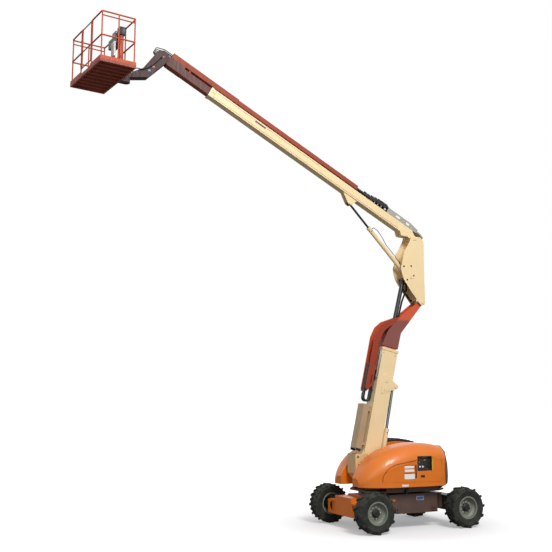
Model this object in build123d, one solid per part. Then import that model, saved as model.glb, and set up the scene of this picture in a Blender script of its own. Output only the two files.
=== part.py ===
from build123d import *
import math
import os

# Articulating boom lift: a four-wheel chassis, a slewing turntable with two hoods, a leaning
# telescopic tower, an upright, a telescopic main boom and a railed work platform.
# Lengths are millimetres and angles are degrees.
# Frame: +X forward, towards the platform; +Y the machine's left; +Z up.
# Origin: on the ground under the slewing axis, midway between the axles.

# ---------------------------------------------------------------- driving dimensions

# running gear
WHEEL_BASE = 2460
OVERALL_WIDTH = 2440
TYRE_RADIUS = 460
TYRE_WIDTH = 355
BEAD_RADIUS = 240
HUB_RADIUS = 95
WHEEL_Y = OVERALL_WIDTH / 2 - TYRE_WIDTH / 2
KINGPIN_INSET = 242.5
KINGPIN_Y = WHEEL_Y - KINGPIN_INSET
KINGPIN_RADIUS = 42

# chassis
CHASSIS_TOP = 780
CHASSIS_BOTTOM = 350
CHASSIS_HALF_WIDTH = 700
CHASSIS_FRONT = 600
CHASSIS_REAR = -720
SPINE_HALF_WIDTH = 380
EAR_REACH = 200
BEAM_HALF_LENGTH = KINGPIN_Y - EAR_REACH
BEAM_DEPTH = 310
BEAM_BOTTOM = 285
BEAM_TOP = 712
YOKE_TOP = 600

# slewing ring and turntable
RING_RADIUS = 460
RING_HEIGHT = 50
DECK_PLATE = 35
DECK_HALF_WIDTH = 740
DECK_FRONT = 720
DECK_REAR = -760
SLOT_HALF_WIDTH = 255
WALL_PLATE = 20
TAIL_RADIUS = 1260
HOOD_BOTTOM = 970
HOOD_WALL = 8
HOOD_REAR = -775

# tower: pin on the turntable, backward lean and sections, in the tower's own frame
TOWER_PIN_X = 1020
TOWER_PIN_Z = 1500
TOWER_LEAN = 13.1
TOWER_AXIS = -258
TOWER_DEPTH = 440
TOWER_HALF_WIDTH = 140
TOWER_WALL = 8
TOWER_FOOT = 0
TOWER_TOP = 2800
TOWER_FLY_DEPTH = 350
TOWER_FLY_HALF_WIDTH = 112
TOWER_FLY_FOOT = 900
HEAD_HALF_WIDTH = 132
HEAD_PLATE = 12

# upright, pinned to the tower head at a point of the tower's frame
UPRIGHT_PIN_FRONT = -908
UPRIGHT_PIN_ALONG = 4174
UPRIGHT_HALF_WIDTH = 190
UPRIGHT_PLATE = 14

# main boom: pivot on the upright, elevation and sections, in the boom's own frame
BOOM_PIN_X = -620
BOOM_PIN_Z = 6960
BOOM_ANGLE = 28
BOOM_FOOT = 150
BOOM_TIP = 6255
BOOM_LOW = -30
BOOM_HIGH = 180
BOOM_HALF_WIDTH = 100
BOOM_WALL = 7
FLY_FOOT = 720
FLY_TIP = 7390
FLY_LOW = -14
FLY_HIGH = 162
FLY_HALF_WIDTH = 84
FLY_WALL = 6

# platform support, rotator and platform
LEVEL_PIN_ALONG = 7510
LEVEL_PIN_UP = 130
ROTATOR_X = 6820
ROTATOR_RADIUS = 95
PLATFORM_SWING = 8
PLATFORM_LENGTH = 800
PLATFORM_WIDTH = 1800
PLATFORM_OFFSET = 145
FLOOR_BOTTOM = 9860
FLOOR_DEPTH = 60
TOE_HEIGHT = 130
RAIL_HEIGHT = 1100
MID_RAIL_HEIGHT = 580
RAIL_RADIUS = 17
POST_RADIUS = 15
RAIL_BEND = 40

# clearances
SEAT_GAP = 0.3
SIDE_GAP = 6
PIN_GAP = 0.05

PIN_RADIUS = 32
HEAVY_PIN_RADIUS = 36

# ---------------------------------------------------------------- helpers


def block(x0, x1, y0, y1, z0, z1):
    """A box between two corners."""
    return Pos((x0 + x1) / 2, (y0 + y1) / 2, (z0 + z1) / 2) * Box(x1 - x0, y1 - y0, z1 - z0)


def plate(points, y0, y1):
    """A plate whose outline lies in the XZ plane, from y0 to y1."""
    outline = Polyline(*[(x, y0, z) for x, z in points], close=True)
    return extrude(make_face(outline), amount=y1 - y0, dir=(0, 1, 0))


def plate_pair(points, half_width, thickness):
    """Two mirrored plates whose outer faces are at plus and minus half_width."""
    return plate(points, half_width - thickness, half_width) + plate(points, -half_width, thickness
                                                                     - half_width)


def pin_y(x, z, radius, y0, y1):
    """A round bar along Y."""
    return Solid.make_cylinder(radius, y1 - y0, Plane(origin=(x, y0, z), z_dir=(0, 1, 0)))


def rod(start, end, radius):
    """A round bar between two points."""
    axis = Vector(*end) - Vector(*start)
    return Solid.make_cylinder(radius, axis.length, Plane(origin=start, z_dir=axis.normalized()))


def post(x, y, z0, z1, radius):
    """A round bar along Z."""
    return Solid.make_cylinder(radius, z1 - z0, Plane(origin=(x, y, z0)))


def box_tube(start, end, half_width, low, high, wall):
    """A hollow box section along X."""
    outer = block(start, end, -half_width, half_width, low, high)
    inner = block(start - 1, end + 1, wall - half_width, half_width - wall, low + wall, high - wall)
    return outer - inner


def pipe(points, radii, radius):
    """A round tube along straight runs joined by tangent arcs."""
    path = FilletPolyline(*points, radius=radii)
    section = Plane(origin=path @ 0, z_dir=path % 0) * Circle(radius)
    return sweep(section, path)


def both(shape):
    """A shape and its mirror image across the XZ plane."""
    return shape + mirror(shape, Plane.XZ)


def fused(shapes):
    """One shape from a list."""
    return shapes[0] + shapes[1:]


os.makedirs("parts", exist_ok=True)


def save(name, shape):
    """Write one node."""
    export_step(Compound(children=list(shape.solids())), "parts/" + name + ".step")


def turn(x, z, angle):
    """The frame of a member that pivots at x, z and leans by an angle about Y."""
    return Pos(x, 0, z) * Rot(0, angle, 0)


TOWER = turn(TOWER_PIN_X, TOWER_PIN_Z, -TOWER_LEAN)
BOOM = turn(BOOM_PIN_X, BOOM_PIN_Z, -BOOM_ANGLE)


def on_tower(front, along):
    """World x and z of a point given in the tower's frame."""
    lean = math.radians(TOWER_LEAN)
    return (TOWER_PIN_X + front * math.cos(lean) - along * math.sin(lean),
            TOWER_PIN_Z + front * math.sin(lean) + along * math.cos(lean))


def on_boom(along, up):
    """World x and z of a point given in the boom's frame."""
    tilt = math.radians(BOOM_ANGLE)
    return (BOOM_PIN_X + along * math.cos(tilt) - up * math.sin(tilt),
            BOOM_PIN_Z + along * math.sin(tilt) + up * math.cos(tilt))


# ---------------------------------------------------------------- wheels


def ring(profile):
    """A solid turned about the Y axis from a profile of radius and y."""
    outline = Polyline(*[(r, y, 0) for r, y in profile], close=True)
    return revolve(make_face(outline), Axis.Y)


FLANGE_RADIUS = 258
BEAD_SHARE = 0.83
TREAD_RADIUS = 433
LUG_COUNT = 12
TYRE_SIDES = 2 * LUG_COUNT
TYRE_HALF_PROFILE = [  # radius, share of the half width
    (BEAD_RADIUS / math.cos(math.pi / TYRE_SIDES), BEAD_SHARE), (FLANGE_RADIUS + 6, BEAD_SHARE), (385, 1.0),
    (TREAD_RADIUS, 0.84),
]
LUG_HALF_ANGLE = 8
LUG_STANCE = 180 / LUG_COUNT - LUG_HALF_ANGLE
LUG_TIP_RADIUS = TYRE_RADIUS / math.cos(math.radians(LUG_STANCE))
LUG_REACH = LUG_TIP_RADIUS * math.sin(math.radians(LUG_HALF_ANGLE))
LUG_TOP = LUG_TIP_RADIUS * math.cos(math.radians(LUG_HALF_ANGLE))
LUG_ROOT = 392
LUG_INNER_Y = 8
LUG_OUTER_Y = 0.97 * TYRE_WIDTH / 2
LUG_INNER_WIDTH = 40
LUG_OUTER_WIDTH = 54
RIM_DISC_Y = 45
RIM_WALL = 9
BEAD_HALF = BEAD_SHARE * TYRE_WIDTH / 2


def lug(side, angle):
    """One tread lug: a slanted bar from the middle of the tread over one shoulder."""
    inner, outer = side * LUG_INNER_Y, side * LUG_OUTER_Y
    outline = Polyline((-LUG_REACH, inner, LUG_ROOT), (LUG_INNER_WIDTH - LUG_REACH, inner, LUG_ROOT),
                       (LUG_REACH, outer, LUG_ROOT), (LUG_REACH - LUG_OUTER_WIDTH, outer, LUG_ROOT),
                       close=True)
    return Rot(0, angle, 0) * extrude(make_face(outline), amount=LUG_TOP - LUG_ROOT, dir=(0, 0, 1))


def faceted_ring(profile, sides):
    """A solid turned about the Y axis in flat facets, from a profile of radius and y."""
    step = 2 * math.pi / sides
    facets = []
    for (r0, y0), (r1, y1) in zip(profile, profile[1:] + profile[:1]):
        for index in range(sides):
            a = (index - 0.5) * step
            b = a + step
            corners = [(r0 * math.sin(a), y0, r0 * math.cos(a)), (r1 * math.sin(a), y1, r1 * math.cos(a)),
                       (r1 * math.sin(b), y1, r1 * math.cos(b)), (r0 * math.sin(b), y0, r0 * math.cos(b))]
            facets.append(make_face(Polyline(*corners, close=True)))
    return Solid(Shell(facets))


def tyre():
    half = [(r, share * TYRE_WIDTH / 2) for r, share in TYRE_HALF_PROFILE]
    pitch = 360 / LUG_COUNT
    lugs = []
    for index in range(LUG_COUNT):
        lugs.append(lug(1, index * pitch))
        lugs.append(lug(-1, (index + 0.5) * pitch))
    return faceted_ring(half + [(r, -y) for r, y in reversed(half)], TYRE_SIDES) + lugs


def rim():
    seat = BEAD_RADIUS - SEAT_GAP
    edge = BEAD_HALF + SEAT_GAP
    profile = [
        (seat, -edge), (FLANGE_RADIUS, -edge), (FLANGE_RADIUS, -edge - RIM_WALL),
               (seat - RIM_WALL, -edge - RIM_WALL),
        (seat - RIM_WALL, RIM_DISC_Y - RIM_WALL), (HUB_RADIUS + SEAT_GAP, RIM_DISC_Y - RIM_WALL),
        (HUB_RADIUS + SEAT_GAP, RIM_DISC_Y), (seat - RIM_WALL - 40, RIM_DISC_Y),
               (seat - RIM_WALL, RIM_DISC_Y + 40),
        (seat - RIM_WALL, edge + RIM_WALL), (FLANGE_RADIUS, edge + RIM_WALL), (FLANGE_RADIUS, edge),
               (seat, edge),
    ]
    return ring(profile)


HUB_INNER = -150
HUB_OUTER = 105


def hub():
    core = ring([(0, HUB_INNER), (HUB_RADIUS, HUB_INNER), (HUB_RADIUS, HUB_OUTER - 25),
                 (HUB_RADIUS - 25, HUB_OUTER), (0, HUB_OUTER)])
    flange = ring([(HUB_RADIUS - 1, RIM_DISC_Y - RIM_WALL - 16),
                   (HUB_RADIUS + 45, RIM_DISC_Y - RIM_WALL - 16),
                   (HUB_RADIUS + 45, RIM_DISC_Y - RIM_WALL - SEAT_GAP),
                   (HUB_RADIUS - 1, RIM_DISC_Y - RIM_WALL - SEAT_GAP)])
    return core + flange


WHEELS = [  # name, x, side
    ("front_left", WHEEL_BASE / 2, 1), ("front_right", WHEEL_BASE / 2, -1),
    ("rear_left", -WHEEL_BASE / 2, 1), ("rear_right", -WHEEL_BASE / 2, -1),
]
wheel_parts = [("tyre_", tyre()), ("rim_", rim()), ("hub_", hub())]
for name, x, side in WHEELS:
    place = Pos(x, side * WHEEL_Y, TYRE_RADIUS)
    for prefix, left_part in wheel_parts:
        save(prefix + name, place * (left_part if side > 0 else mirror(left_part, Plane.XZ)))

# ---------------------------------------------------------------- axles, knuckles, steering

BEAM_X = WHEEL_BASE / 2
BEAM_WALL = 16
SPINDLE_END = WHEEL_Y + HUB_INNER - 0.5
SPINDLE_RADIUS = 58
YOKE_HALF = 75
YOKE_END = KINGPIN_Y + 45
YOKE_PLATE = 36
KINGPIN_HEAD = 8
FACE_X = BEAM_X + 190
FACE_END = KINGPIN_Y - 60
SADDLE_FRONT = BEAM_X + 200
SADDLE_HALF_WIDTH = 370
HOLE_Y = 545
HOLE_Z = 450
HOLE_RADIUS = 112
HOLE_TIP = 190


def hollow(x0, x1, half_width, z0, z1, wall):
    """A closed box beam."""
    outer = block(x0, x1, -half_width, half_width, z0, z1)
    return outer - block(x0 + wall, x1 - wall, wall - half_width, half_width - wall, z0 + wall, z1 - wall)


def teardrop():
    """The opening in the left face plate: round, with a point towards the middle of the beam."""
    start = FACE_X + 1
    hole = extrude(Plane(origin=(start, HOLE_Y, HOLE_Z), z_dir=(-1, 0, 0)) * Circle(HOLE_RADIUS),
                   amount=BEAM_WALL + 2)
    corners = [(start, HOLE_Y, HOLE_Z - HOLE_RADIUS), (start, HOLE_Y, HOLE_Z + HOLE_RADIUS),
               (start, HOLE_Y - HOLE_TIP + 30, HOLE_Z + HOLE_RADIUS),
               (start, HOLE_Y - HOLE_TIP + 30, HOLE_Z + 40)]
    return hole + extrude(make_face(Polyline(*corners, close=True)), amount=BEAM_WALL + 2, dir=(-1, 0, 0))


def yoke():
    """The left end of the front axle: two ears for the kingpin and a boxed face plate with an opening."""
    ears = []
    for low, high in ((BEAM_BOTTOM, BEAM_BOTTOM + YOKE_PLATE), (YOKE_TOP - YOKE_PLATE, YOKE_TOP)):
        ear = block(BEAM_X - YOKE_HALF, BEAM_X + YOKE_HALF, BEAM_HALF_LENGTH - 1, YOKE_END, low, high)
        ears.append(ear - post(BEAM_X, KINGPIN_Y, low - 1, high + 1, KINGPIN_RADIUS + PIN_GAP))
    inner = SADDLE_HALF_WIDTH - 1
    face = block(FACE_X - BEAM_WALL, FACE_X, inner, FACE_END, BEAM_BOTTOM, YOKE_TOP) - teardrop()
    shelf = block(BEAM_X, FACE_X - 1, inner, FACE_END, BEAM_BOTTOM, BEAM_BOTTOM + BEAM_WALL)
    lid = block(BEAM_X, FACE_X - 1, inner, FACE_END, YOKE_TOP - BEAM_WALL, YOKE_TOP)
    return ears[0] + [ears[1], face, shelf, lid]


main_beam = hollow(BEAM_X - BEAM_DEPTH / 2, BEAM_X + BEAM_DEPTH / 2, BEAM_HALF_LENGTH, BEAM_BOTTOM, YOKE_TOP,
                   BEAM_WALL)
saddle = block(BEAM_X - BEAM_DEPTH / 2, SADDLE_FRONT, -SADDLE_HALF_WIDTH, SADDLE_HALF_WIDTH, BEAM_BOTTOM,
               BEAM_TOP)
save("front_axle", main_beam + [saddle, both(yoke())])

REAR_MOTOR_RADIUS = 105
REAR_BEAM_TOP = 690
REAR_BEAM_BOTTOM = 350
rear_beam = hollow(-BEAM_X - BEAM_DEPTH / 2, -BEAM_X + BEAM_DEPTH / 2, BEAM_HALF_LENGTH, REAR_BEAM_BOTTOM,
                   REAR_BEAM_TOP,
                   BEAM_WALL)
motors = both(rod((-BEAM_X, BEAM_HALF_LENGTH - 2, TYRE_RADIUS), (-BEAM_X, SPINDLE_END, TYRE_RADIUS),
                  REAR_MOTOR_RADIUS))
save("rear_axle", rear_beam + motors)

KNUCKLE_LOW = BEAM_BOTTOM + YOKE_PLATE + SEAT_GAP
KNUCKLE_HIGH = YOKE_TOP - YOKE_PLATE - SEAT_GAP
BARREL_RADIUS = 62
ARM_LENGTH = 225
ARM_HALF_WIDTH_Y = 30
ARM_DEPTH = 40


def knuckle():
    """The left steering knuckle: barrel, kingpin, spindle and steering arm."""
    barrel = post(BEAM_X, KINGPIN_Y, KNUCKLE_LOW, KNUCKLE_HIGH, BARREL_RADIUS)
    kingpin = post(BEAM_X, KINGPIN_Y, BEAM_BOTTOM - KINGPIN_HEAD, YOKE_TOP + KINGPIN_HEAD, KINGPIN_RADIUS)
    spindle = rod((BEAM_X, KINGPIN_Y, TYRE_RADIUS), (BEAM_X, SPINDLE_END, TYRE_RADIUS), SPINDLE_RADIUS)
    arm = block(BEAM_X - ARM_LENGTH - ARM_HALF_WIDTH_Y, BEAM_X, KINGPIN_Y - ARM_HALF_WIDTH_Y, KINGPIN_Y
                + ARM_HALF_WIDTH_Y,
                KNUCKLE_HIGH - ARM_DEPTH, KNUCKLE_HIGH)
    return barrel + [kingpin, spindle, arm]


save("knuckle_left", knuckle())
save("knuckle_right", mirror(knuckle(), Plane.XZ))

TIE_RADIUS = 22
TIE_X = BEAM_X - ARM_LENGTH
TIE_Z = KNUCKLE_HIGH - ARM_DEPTH - TIE_RADIUS - SEAT_GAP
save("tie_rod", rod((TIE_X, -KINGPIN_Y - 20, TIE_Z), (TIE_X, KINGPIN_Y + 20, TIE_Z), TIE_RADIUS))

# ---------------------------------------------------------------- chassis frame

SPINE_FRONT = BEAM_X - BEAM_DEPTH / 2 - SEAT_GAP
SIDE_OUTLINE = [  # x, z of the chassis side
    (CHASSIS_REAR, CHASSIS_BOTTOM), (CHASSIS_FRONT - 180, CHASSIS_BOTTOM),
                (CHASSIS_FRONT, CHASSIS_BOTTOM + 90),
    (CHASSIS_FRONT, CHASSIS_TOP), (CHASSIS_REAR, CHASSIS_TOP),
]
spine = block(-SPINE_FRONT, SPINE_FRONT, -SPINE_HALF_WIDTH, SPINE_HALF_WIDTH, CHASSIS_BOTTOM + 40,
              CHASSIS_TOP - 40)
TIE_TUNNEL = 60
tunnel = block(TIE_X - TIE_TUNNEL, TIE_X + TIE_TUNNEL, -SPINE_HALF_WIDTH - 1, SPINE_HALF_WIDTH + 1,
               TIE_Z - TIE_TUNNEL, TIE_Z + TIE_TUNNEL)
LUG_X = 480
LUG_RADIUS = 26
chassis = plate(SIDE_OUTLINE, -CHASSIS_HALF_WIDTH, CHASSIS_HALF_WIDTH) + spine - tunnel
tie_downs = [block(x - 45, x + 45, side * (CHASSIS_HALF_WIDTH + 12) - 13, side * (CHASSIS_HALF_WIDTH + 12)
                   + 13, 390, 480)
             - pin_y(x, 435, LUG_RADIUS, -OVERALL_WIDTH, OVERALL_WIDTH)
             for x in (-LUG_X - 120, LUG_X - 60) for side in (1, -1)]
save("chassis_frame", fused([chassis] + tie_downs))

save("slew_ring", post(0, 0, CHASSIS_TOP + SEAT_GAP, CHASSIS_TOP + RING_HEIGHT - SEAT_GAP, RING_RADIUS)
     - post(0, 0, CHASSIS_TOP, CHASSIS_TOP + RING_HEIGHT, RING_RADIUS - 90))

# ---------------------------------------------------------------- turntable frame

DECK_BOTTOM = CHASSIS_TOP + RING_HEIGHT
DECK_TOP = DECK_BOTTOM + DECK_PLATE
FRAME_HALF_WIDTH = 182
FRAME_PLATE = 22
deck = Pos(0, 0, DECK_BOTTOM) * extrude(make_face(Polyline(
    (DECK_REAR, -DECK_HALF_WIDTH), (DECK_FRONT, -DECK_HALF_WIDTH), (DECK_FRONT + 330, -330),
    (DECK_FRONT + 330, 330), (DECK_FRONT, DECK_HALF_WIDTH), (DECK_REAR, DECK_HALF_WIDTH),
    (DECK_REAR - 250, 560), (DECK_REAR - 250, -560), close=True)), amount=DECK_PLATE)
rails = both(block(DECK_REAR, 560, SLOT_HALF_WIDTH - WALL_PLATE - 8, SLOT_HALF_WIDTH - 8, DECK_TOP - 1,
                   DECK_TOP + 210))
skirts = both(block(DECK_REAR, DECK_FRONT - 20, DECK_HALF_WIDTH - WALL_PLATE, DECK_HALF_WIDTH, DECK_TOP - 1,
                    HOOD_BOTTOM - SEAT_GAP))
LIFT_BASE_X = 462
LIFT_BASE_Z = 965
LIFT_BORE = 60
EYE_STEP = 2  # how far a cylinder's eye stands out past its barrel
LUG_INNER = LIFT_BORE + EYE_STEP + SIDE_GAP
LUG_PLATE = 24
base_lugs = both(plate([(LIFT_BASE_X - 90, DECK_TOP - 1), (LIFT_BASE_X + 90, DECK_TOP - 1),
                        (LIFT_BASE_X + 45, LIFT_BASE_Z + 45), (LIFT_BASE_X - 45, LIFT_BASE_Z + 45)],
                       LUG_INNER, LUG_INNER + LUG_PLATE))
base_pin = pin_y(LIFT_BASE_X, LIFT_BASE_Z, PIN_RADIUS, -LUG_INNER - LUG_PLATE - 8, LUG_INNER + LUG_PLATE + 8)
save("turntable_frame", deck + [rails, skirts, base_lugs, base_pin])

PIVOT_OUTLINE = [(1190, 1690), (1190, 1250), (1040, 1060), (900, DECK_TOP + SEAT_GAP),
                 (380, DECK_TOP + SEAT_GAP),
                 (380, 1100), (640, 1290), (860, 1690)]
FRONT_SHEET = 14
pivot_frame = plate_pair(PIVOT_OUTLINE, FRAME_HALF_WIDTH, FRAME_PLATE)
front_sheet = plate([(1190, 1690), (1190, 1250), (1040, 1060), (1040 - FRONT_SHEET, 1060),
                     (1190 - FRONT_SHEET, 1250),
                     (1190 - FRONT_SHEET, 1690)], FRAME_PLATE - FRAME_HALF_WIDTH - 1, FRAME_HALF_WIDTH
                    - FRAME_PLATE + 1)
tower_pin = pin_y(TOWER_PIN_X, TOWER_PIN_Z, PIN_RADIUS, -FRAME_HALF_WIDTH - 12, FRAME_HALF_WIDTH + 12)
save("tower_pivot_frame", pivot_frame + [front_sheet, tower_pin])

# ---------------------------------------------------------------- counterweight

TAIL_PROFILE = [  # distance in from the tail radius, z
    (225, DECK_TOP + SEAT_GAP), (35, 975), (12, 1010), (0, 1180), (10, 1450), (62, 1720), (160, 1850),
]
tail_edge = [(TAIL_RADIUS - inset, 0, z) for inset, z in TAIL_PROFILE]
tail_face = make_face(Polyline((0, 0, tail_edge[0][2]), *tail_edge, (0, 0, tail_edge[-1][2]), close=True))
tail_low, tail_high = tail_edge[0][2] - 1, tail_edge[-1][2] + 1
tail = revolve(tail_face, Axis.Z) & block(-TAIL_RADIUS - 1, HOOD_REAR - SEAT_GAP, -1010, 1010, tail_low,
                                          tail_high)
save("counterweight", tail - block(-TAIL_RADIUS - 1, 0, -SLOT_HALF_WIDTH, SLOT_HALF_WIDTH, tail_low,
                                   tail_high))

# ---------------------------------------------------------------- hoods and doors

HOOD_STATIONS = [  # x, outer y, shoulder z, shoulder top y, top z
    (HOOD_REAR, 968, 1560, 700, 1860),
    (-300, 1000, 1560, 700, 1935),
    (150, 1000, 1500, 690, 1905),
    (600, 975, 1360, 640, 1800),
    (950, 890, 1230, 560, 1620),
    (1200, 740, 1110, 460, 1370),
    (1325, 540, 1030, 370, 1160),
]


def hood_section(x, outer, shoulder, crown, top, inset, low):
    """One cross-section of the left hood: inner wall, floor line, side, round shoulder and top."""
    y0 = SLOT_HALF_WIDTH + 5 + inset
    y1 = outer - inset
    z1 = top - inset
    middle = (crown + (y1 - crown) * 0.72, shoulder + (z1 - shoulder) * 0.70)
    edges = (Line((x, y0, low), (x, y1, low)) + Line((x, y1, low), (x, y1, shoulder))
             + ThreePointArc((x, y1, shoulder), (x, middle[0], middle[1]), (x, crown, z1))
             + Line((x, crown, z1), (x, y0, z1)) + Line((x, y0, z1), (x, y0, low)))
    return make_face(edges)


def hood_loft(inset, low):
    sections = []
    for x, outer, shoulder, crown, top in HOOD_STATIONS:
        shift = inset if x == HOOD_STATIONS[0][0] else (-inset if x == HOOD_STATIONS[-1][0] else 0)
        sections.append(hood_section(x + shift, outer, shoulder, crown, top, inset, low))
    return loft(sections)


DOOR_REAR = -660
DOOR_FRONT = 915
DOOR_LOW_REAR = 1070
DOOR_LOW_FRONT = 1090
DOOR_HIGH = 1655
DOOR_NOSE = 1150
DOOR_ARC = [(-95, 1345), (-348, 1492)]  # distance back from the door's front edge, z
DOOR_SHELF = (60, 1569)
NOTCH = (-375, 20, 1328)  # rear x, front x and bottom z of the control panel's opening
NOTCH_TOP = 1655


def door_prism(grow, notch):
    """The volume that cuts the left side door out of the hood."""
    low_rear, low_front = DOOR_LOW_REAR - grow, DOOR_LOW_FRONT - grow
    high = DOOR_HIGH + grow
    rear, front = DOOR_REAR - grow, DOOR_FRONT + grow
    y = 720
    lift = grow * 0.7
    bend, shoulder = [(front + back, y, z + lift) for back, z in DOOR_ARC]
    shelf = (DOOR_SHELF[0], y, DOOR_SHELF[1] + grow)
    edges = (Line((rear, y, low_rear), (front, y, low_front))
             + Line((front, y, low_front), (front, y, DOOR_NOSE + lift))
             + ThreePointArc((front, y, DOOR_NOSE + lift), bend, shoulder) + Line(shoulder, shelf)
             + Line(shelf, (rear, y, high)) + Line((rear, y, high), (rear, y, low_rear)))
    prism = extrude(make_face(edges), amount=400, dir=(0, 1, 0))
    if notch:
        prism = prism - block(NOTCH[0] - SIDE_GAP + grow, NOTCH[1] + SIDE_GAP - grow, y - 1, y + 401,
                              NOTCH[2] + grow - SIDE_GAP,
                              high + 40)
    return prism


hood_shell = hood_loft(0, HOOD_BOTTOM) - hood_loft(HOOD_WALL, HOOD_BOTTOM - 1)
left_hood = hood_shell - door_prism(SIDE_GAP, True) - block(NOTCH[0], NOTCH[1], 720, 1100, NOTCH[2],
                                                            NOTCH_TOP)
left_door = hood_shell & door_prism(0, True)
right_hood = mirror(hood_shell - door_prism(SIDE_GAP, False), Plane.XZ)
right_door = mirror(hood_shell & door_prism(0, False), Plane.XZ)
SEAL_WIDTH = 20
SEAL_INSET = 12


def door_seal():
    """The ledge on the hood behind the edge of the left door."""
    back = hood_loft(HOOD_WALL + SEAL_INSET, HOOD_BOTTOM)
    rim = door_prism(SEAL_WIDTH, False) - door_prism(-SEAL_WIDTH, False)
    joined = (hood_loft(HOOD_WALL - 1, HOOD_BOTTOM) - back) & (rim - door_prism(SIDE_GAP, False))
    behind = (hood_loft(HOOD_WALL + SEAT_GAP, HOOD_BOTTOM) - back) & (rim & door_prism(SIDE_GAP + 1, False))
    return joined + behind


seal = door_seal()
left_hood = left_hood + (seal - block(NOTCH[0] - 40, NOTCH[1] + 40, 700, 1100, NOTCH[2] - 40, 1700))
right_hood = right_hood + mirror(seal, Plane.XZ)
HINGE_PIN_X = -664
HINGE_PIN_Y = 1005
HINGE_SEAT_Y = 989
HINGE_PIN_RADIUS = 7
HINGE_STRAP = 25
DOOR_HINGES = (1160, 1560)
for z in DOOR_HINGES:
    knuckle_pin = post(HINGE_PIN_X, HINGE_PIN_Y, z - HINGE_STRAP, z + HINGE_STRAP, HINGE_PIN_RADIUS)
    strap = block(HINGE_PIN_X, -634, HINGE_PIN_Y - 8, HINGE_PIN_Y + 4, z - HINGE_STRAP, z + HINGE_STRAP)
    foot = block(-656, -634, HINGE_SEAT_Y, HINGE_PIN_Y, z - HINGE_STRAP, z + HINGE_STRAP)
    left_door = left_door + [knuckle_pin, strap, foot]
    right_door = right_door + [mirror(piece, Plane.XZ) for piece in (knuckle_pin, strap, foot)]
save("hood_left", left_hood)
save("hood_right", right_hood)
save("hood_door_left", left_door)
save("hood_door_right", right_door)

PANEL_Y = 925
PANEL_RIM = 12
control = block(NOTCH[0] + SEAT_GAP, NOTCH[1] - SEAT_GAP, PANEL_Y - 135, 1010, NOTCH[2] + SEAT_GAP, NOTCH_TOP
                - SEAT_GAP)
control = control - block(NOTCH[0] + PANEL_RIM, NOTCH[1] - PANEL_RIM, PANEL_Y, 1011, NOTCH[2] + PANEL_RIM,
                          NOTCH_TOP - PANEL_RIM)
save("ground_control", control & hood_loft(0, HOOD_BOTTOM))

save("engine_block", block(-560, 420, -660, -320, DECK_TOP + SEAT_GAP, 1520))
COVER_LINE = [(380, 1900), (100, 1960), (-300, 1995), (-760, 1925)]  # x, z of the cover's top
COVER_PLATE = 44
COVER_INNER = -SLOT_HALF_WIDTH - 20
COVER_OUTER = -690
RIB_COUNT = 11
RIB_WIDTH = 26
RIB_RISE = 14
RIB_FRONT = 330
RIB_PITCH = 98


def cover_top(x):
    """Height of the engine cover at x."""
    for (x0, z0), (x1, z1) in zip(COVER_LINE, COVER_LINE[1:]):
        if x1 <= x <= x0:
            return z0 + (z1 - z0) * (x - x0) / (x1 - x0)
    return COVER_LINE[-1][1]


cover = plate(COVER_LINE + [(x, z - COVER_PLATE) for x, z in reversed(COVER_LINE)], COVER_OUTER, COVER_INNER)
ribs = [block(x - RIB_WIDTH / 2, x + RIB_WIDTH / 2, COVER_OUTER + 30, COVER_INNER - 30, cover_top(x) - 20,
              cover_top(x) + RIB_RISE)
        for x in [RIB_FRONT - RIB_PITCH * index for index in range(RIB_COUNT)]]
save("engine_cover", cover + ribs - mirror(hood_loft(-SEAT_GAP, HOOD_BOTTOM), Plane.XZ))

# ---------------------------------------------------------------- tower base section


def tower_box(front, rear, half_width, low, high):
    """A block in the tower's frame, given by its front and rear faces."""
    return block(rear, front, -half_width, half_width, low, high)


BASE_FRONT = TOWER_AXIS + TOWER_DEPTH / 2
BASE_REAR = TOWER_AXIS - TOWER_DEPTH / 2
base_tube = tower_box(BASE_FRONT, BASE_REAR, TOWER_HALF_WIDTH, TOWER_FOOT, TOWER_TOP)
base_tube = base_tube - tower_box(BASE_FRONT - TOWER_WALL, BASE_REAR + TOWER_WALL, TOWER_HALF_WIDTH
                                  - TOWER_WALL,
                                  TOWER_FOOT + 20, TOWER_TOP + 1)
rim_band = tower_box(BASE_FRONT + 14, BASE_REAR - 14, TOWER_HALF_WIDTH + 14, TOWER_TOP - 60, TOWER_TOP)
rim_band = rim_band - tower_box(BASE_FRONT - 1, BASE_REAR + 1, TOWER_HALF_WIDTH - 1, TOWER_TOP - 61,
                                TOWER_TOP + 1)
PAD_LENGTH = 120


def slide_pads(inner, outer, start):
    """Wear pads around a tube along Z, between two rectangles of rear, front and half width."""
    ring_block = block(outer[0], outer[1], -outer[2], outer[2], start, start + PAD_LENGTH)
    return ring_block - block(inner[0], inner[1], -inner[2], inner[2], start - 1, start + PAD_LENGTH + 1)


FLY_FRONT = TOWER_AXIS + TOWER_FLY_DEPTH / 2
FLY_REAR = TOWER_AXIS - TOWER_FLY_DEPTH / 2
BASE_INSIDE = (BASE_REAR + TOWER_WALL, BASE_FRONT - TOWER_WALL, TOWER_HALF_WIDTH - TOWER_WALL)
top_pads = slide_pads((FLY_REAR - SEAT_GAP, FLY_FRONT + SEAT_GAP, TOWER_FLY_HALF_WIDTH + SEAT_GAP),
                      (BASE_INSIDE[0] - 1, BASE_INSIDE[1] + 1, BASE_INSIDE[2] + 1), TOWER_TOP - PAD_LENGTH
                      - 20)
PIVOT_EAR = 30
pivot_ears = both(plate([(-200, TOWER_FOOT), (-200, 330), (BASE_FRONT, 330), (35, 90), (58, 20), (58, -20),
                         (25, -52),
                         (-25, -52), (-95, TOWER_FOOT)], TOWER_HALF_WIDTH - PIVOT_EAR, TOWER_HALF_WIDTH))
pivot_ears = pivot_ears - pin_y(0, 0, PIN_RADIUS + PIN_GAP, -300, 300)

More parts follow.
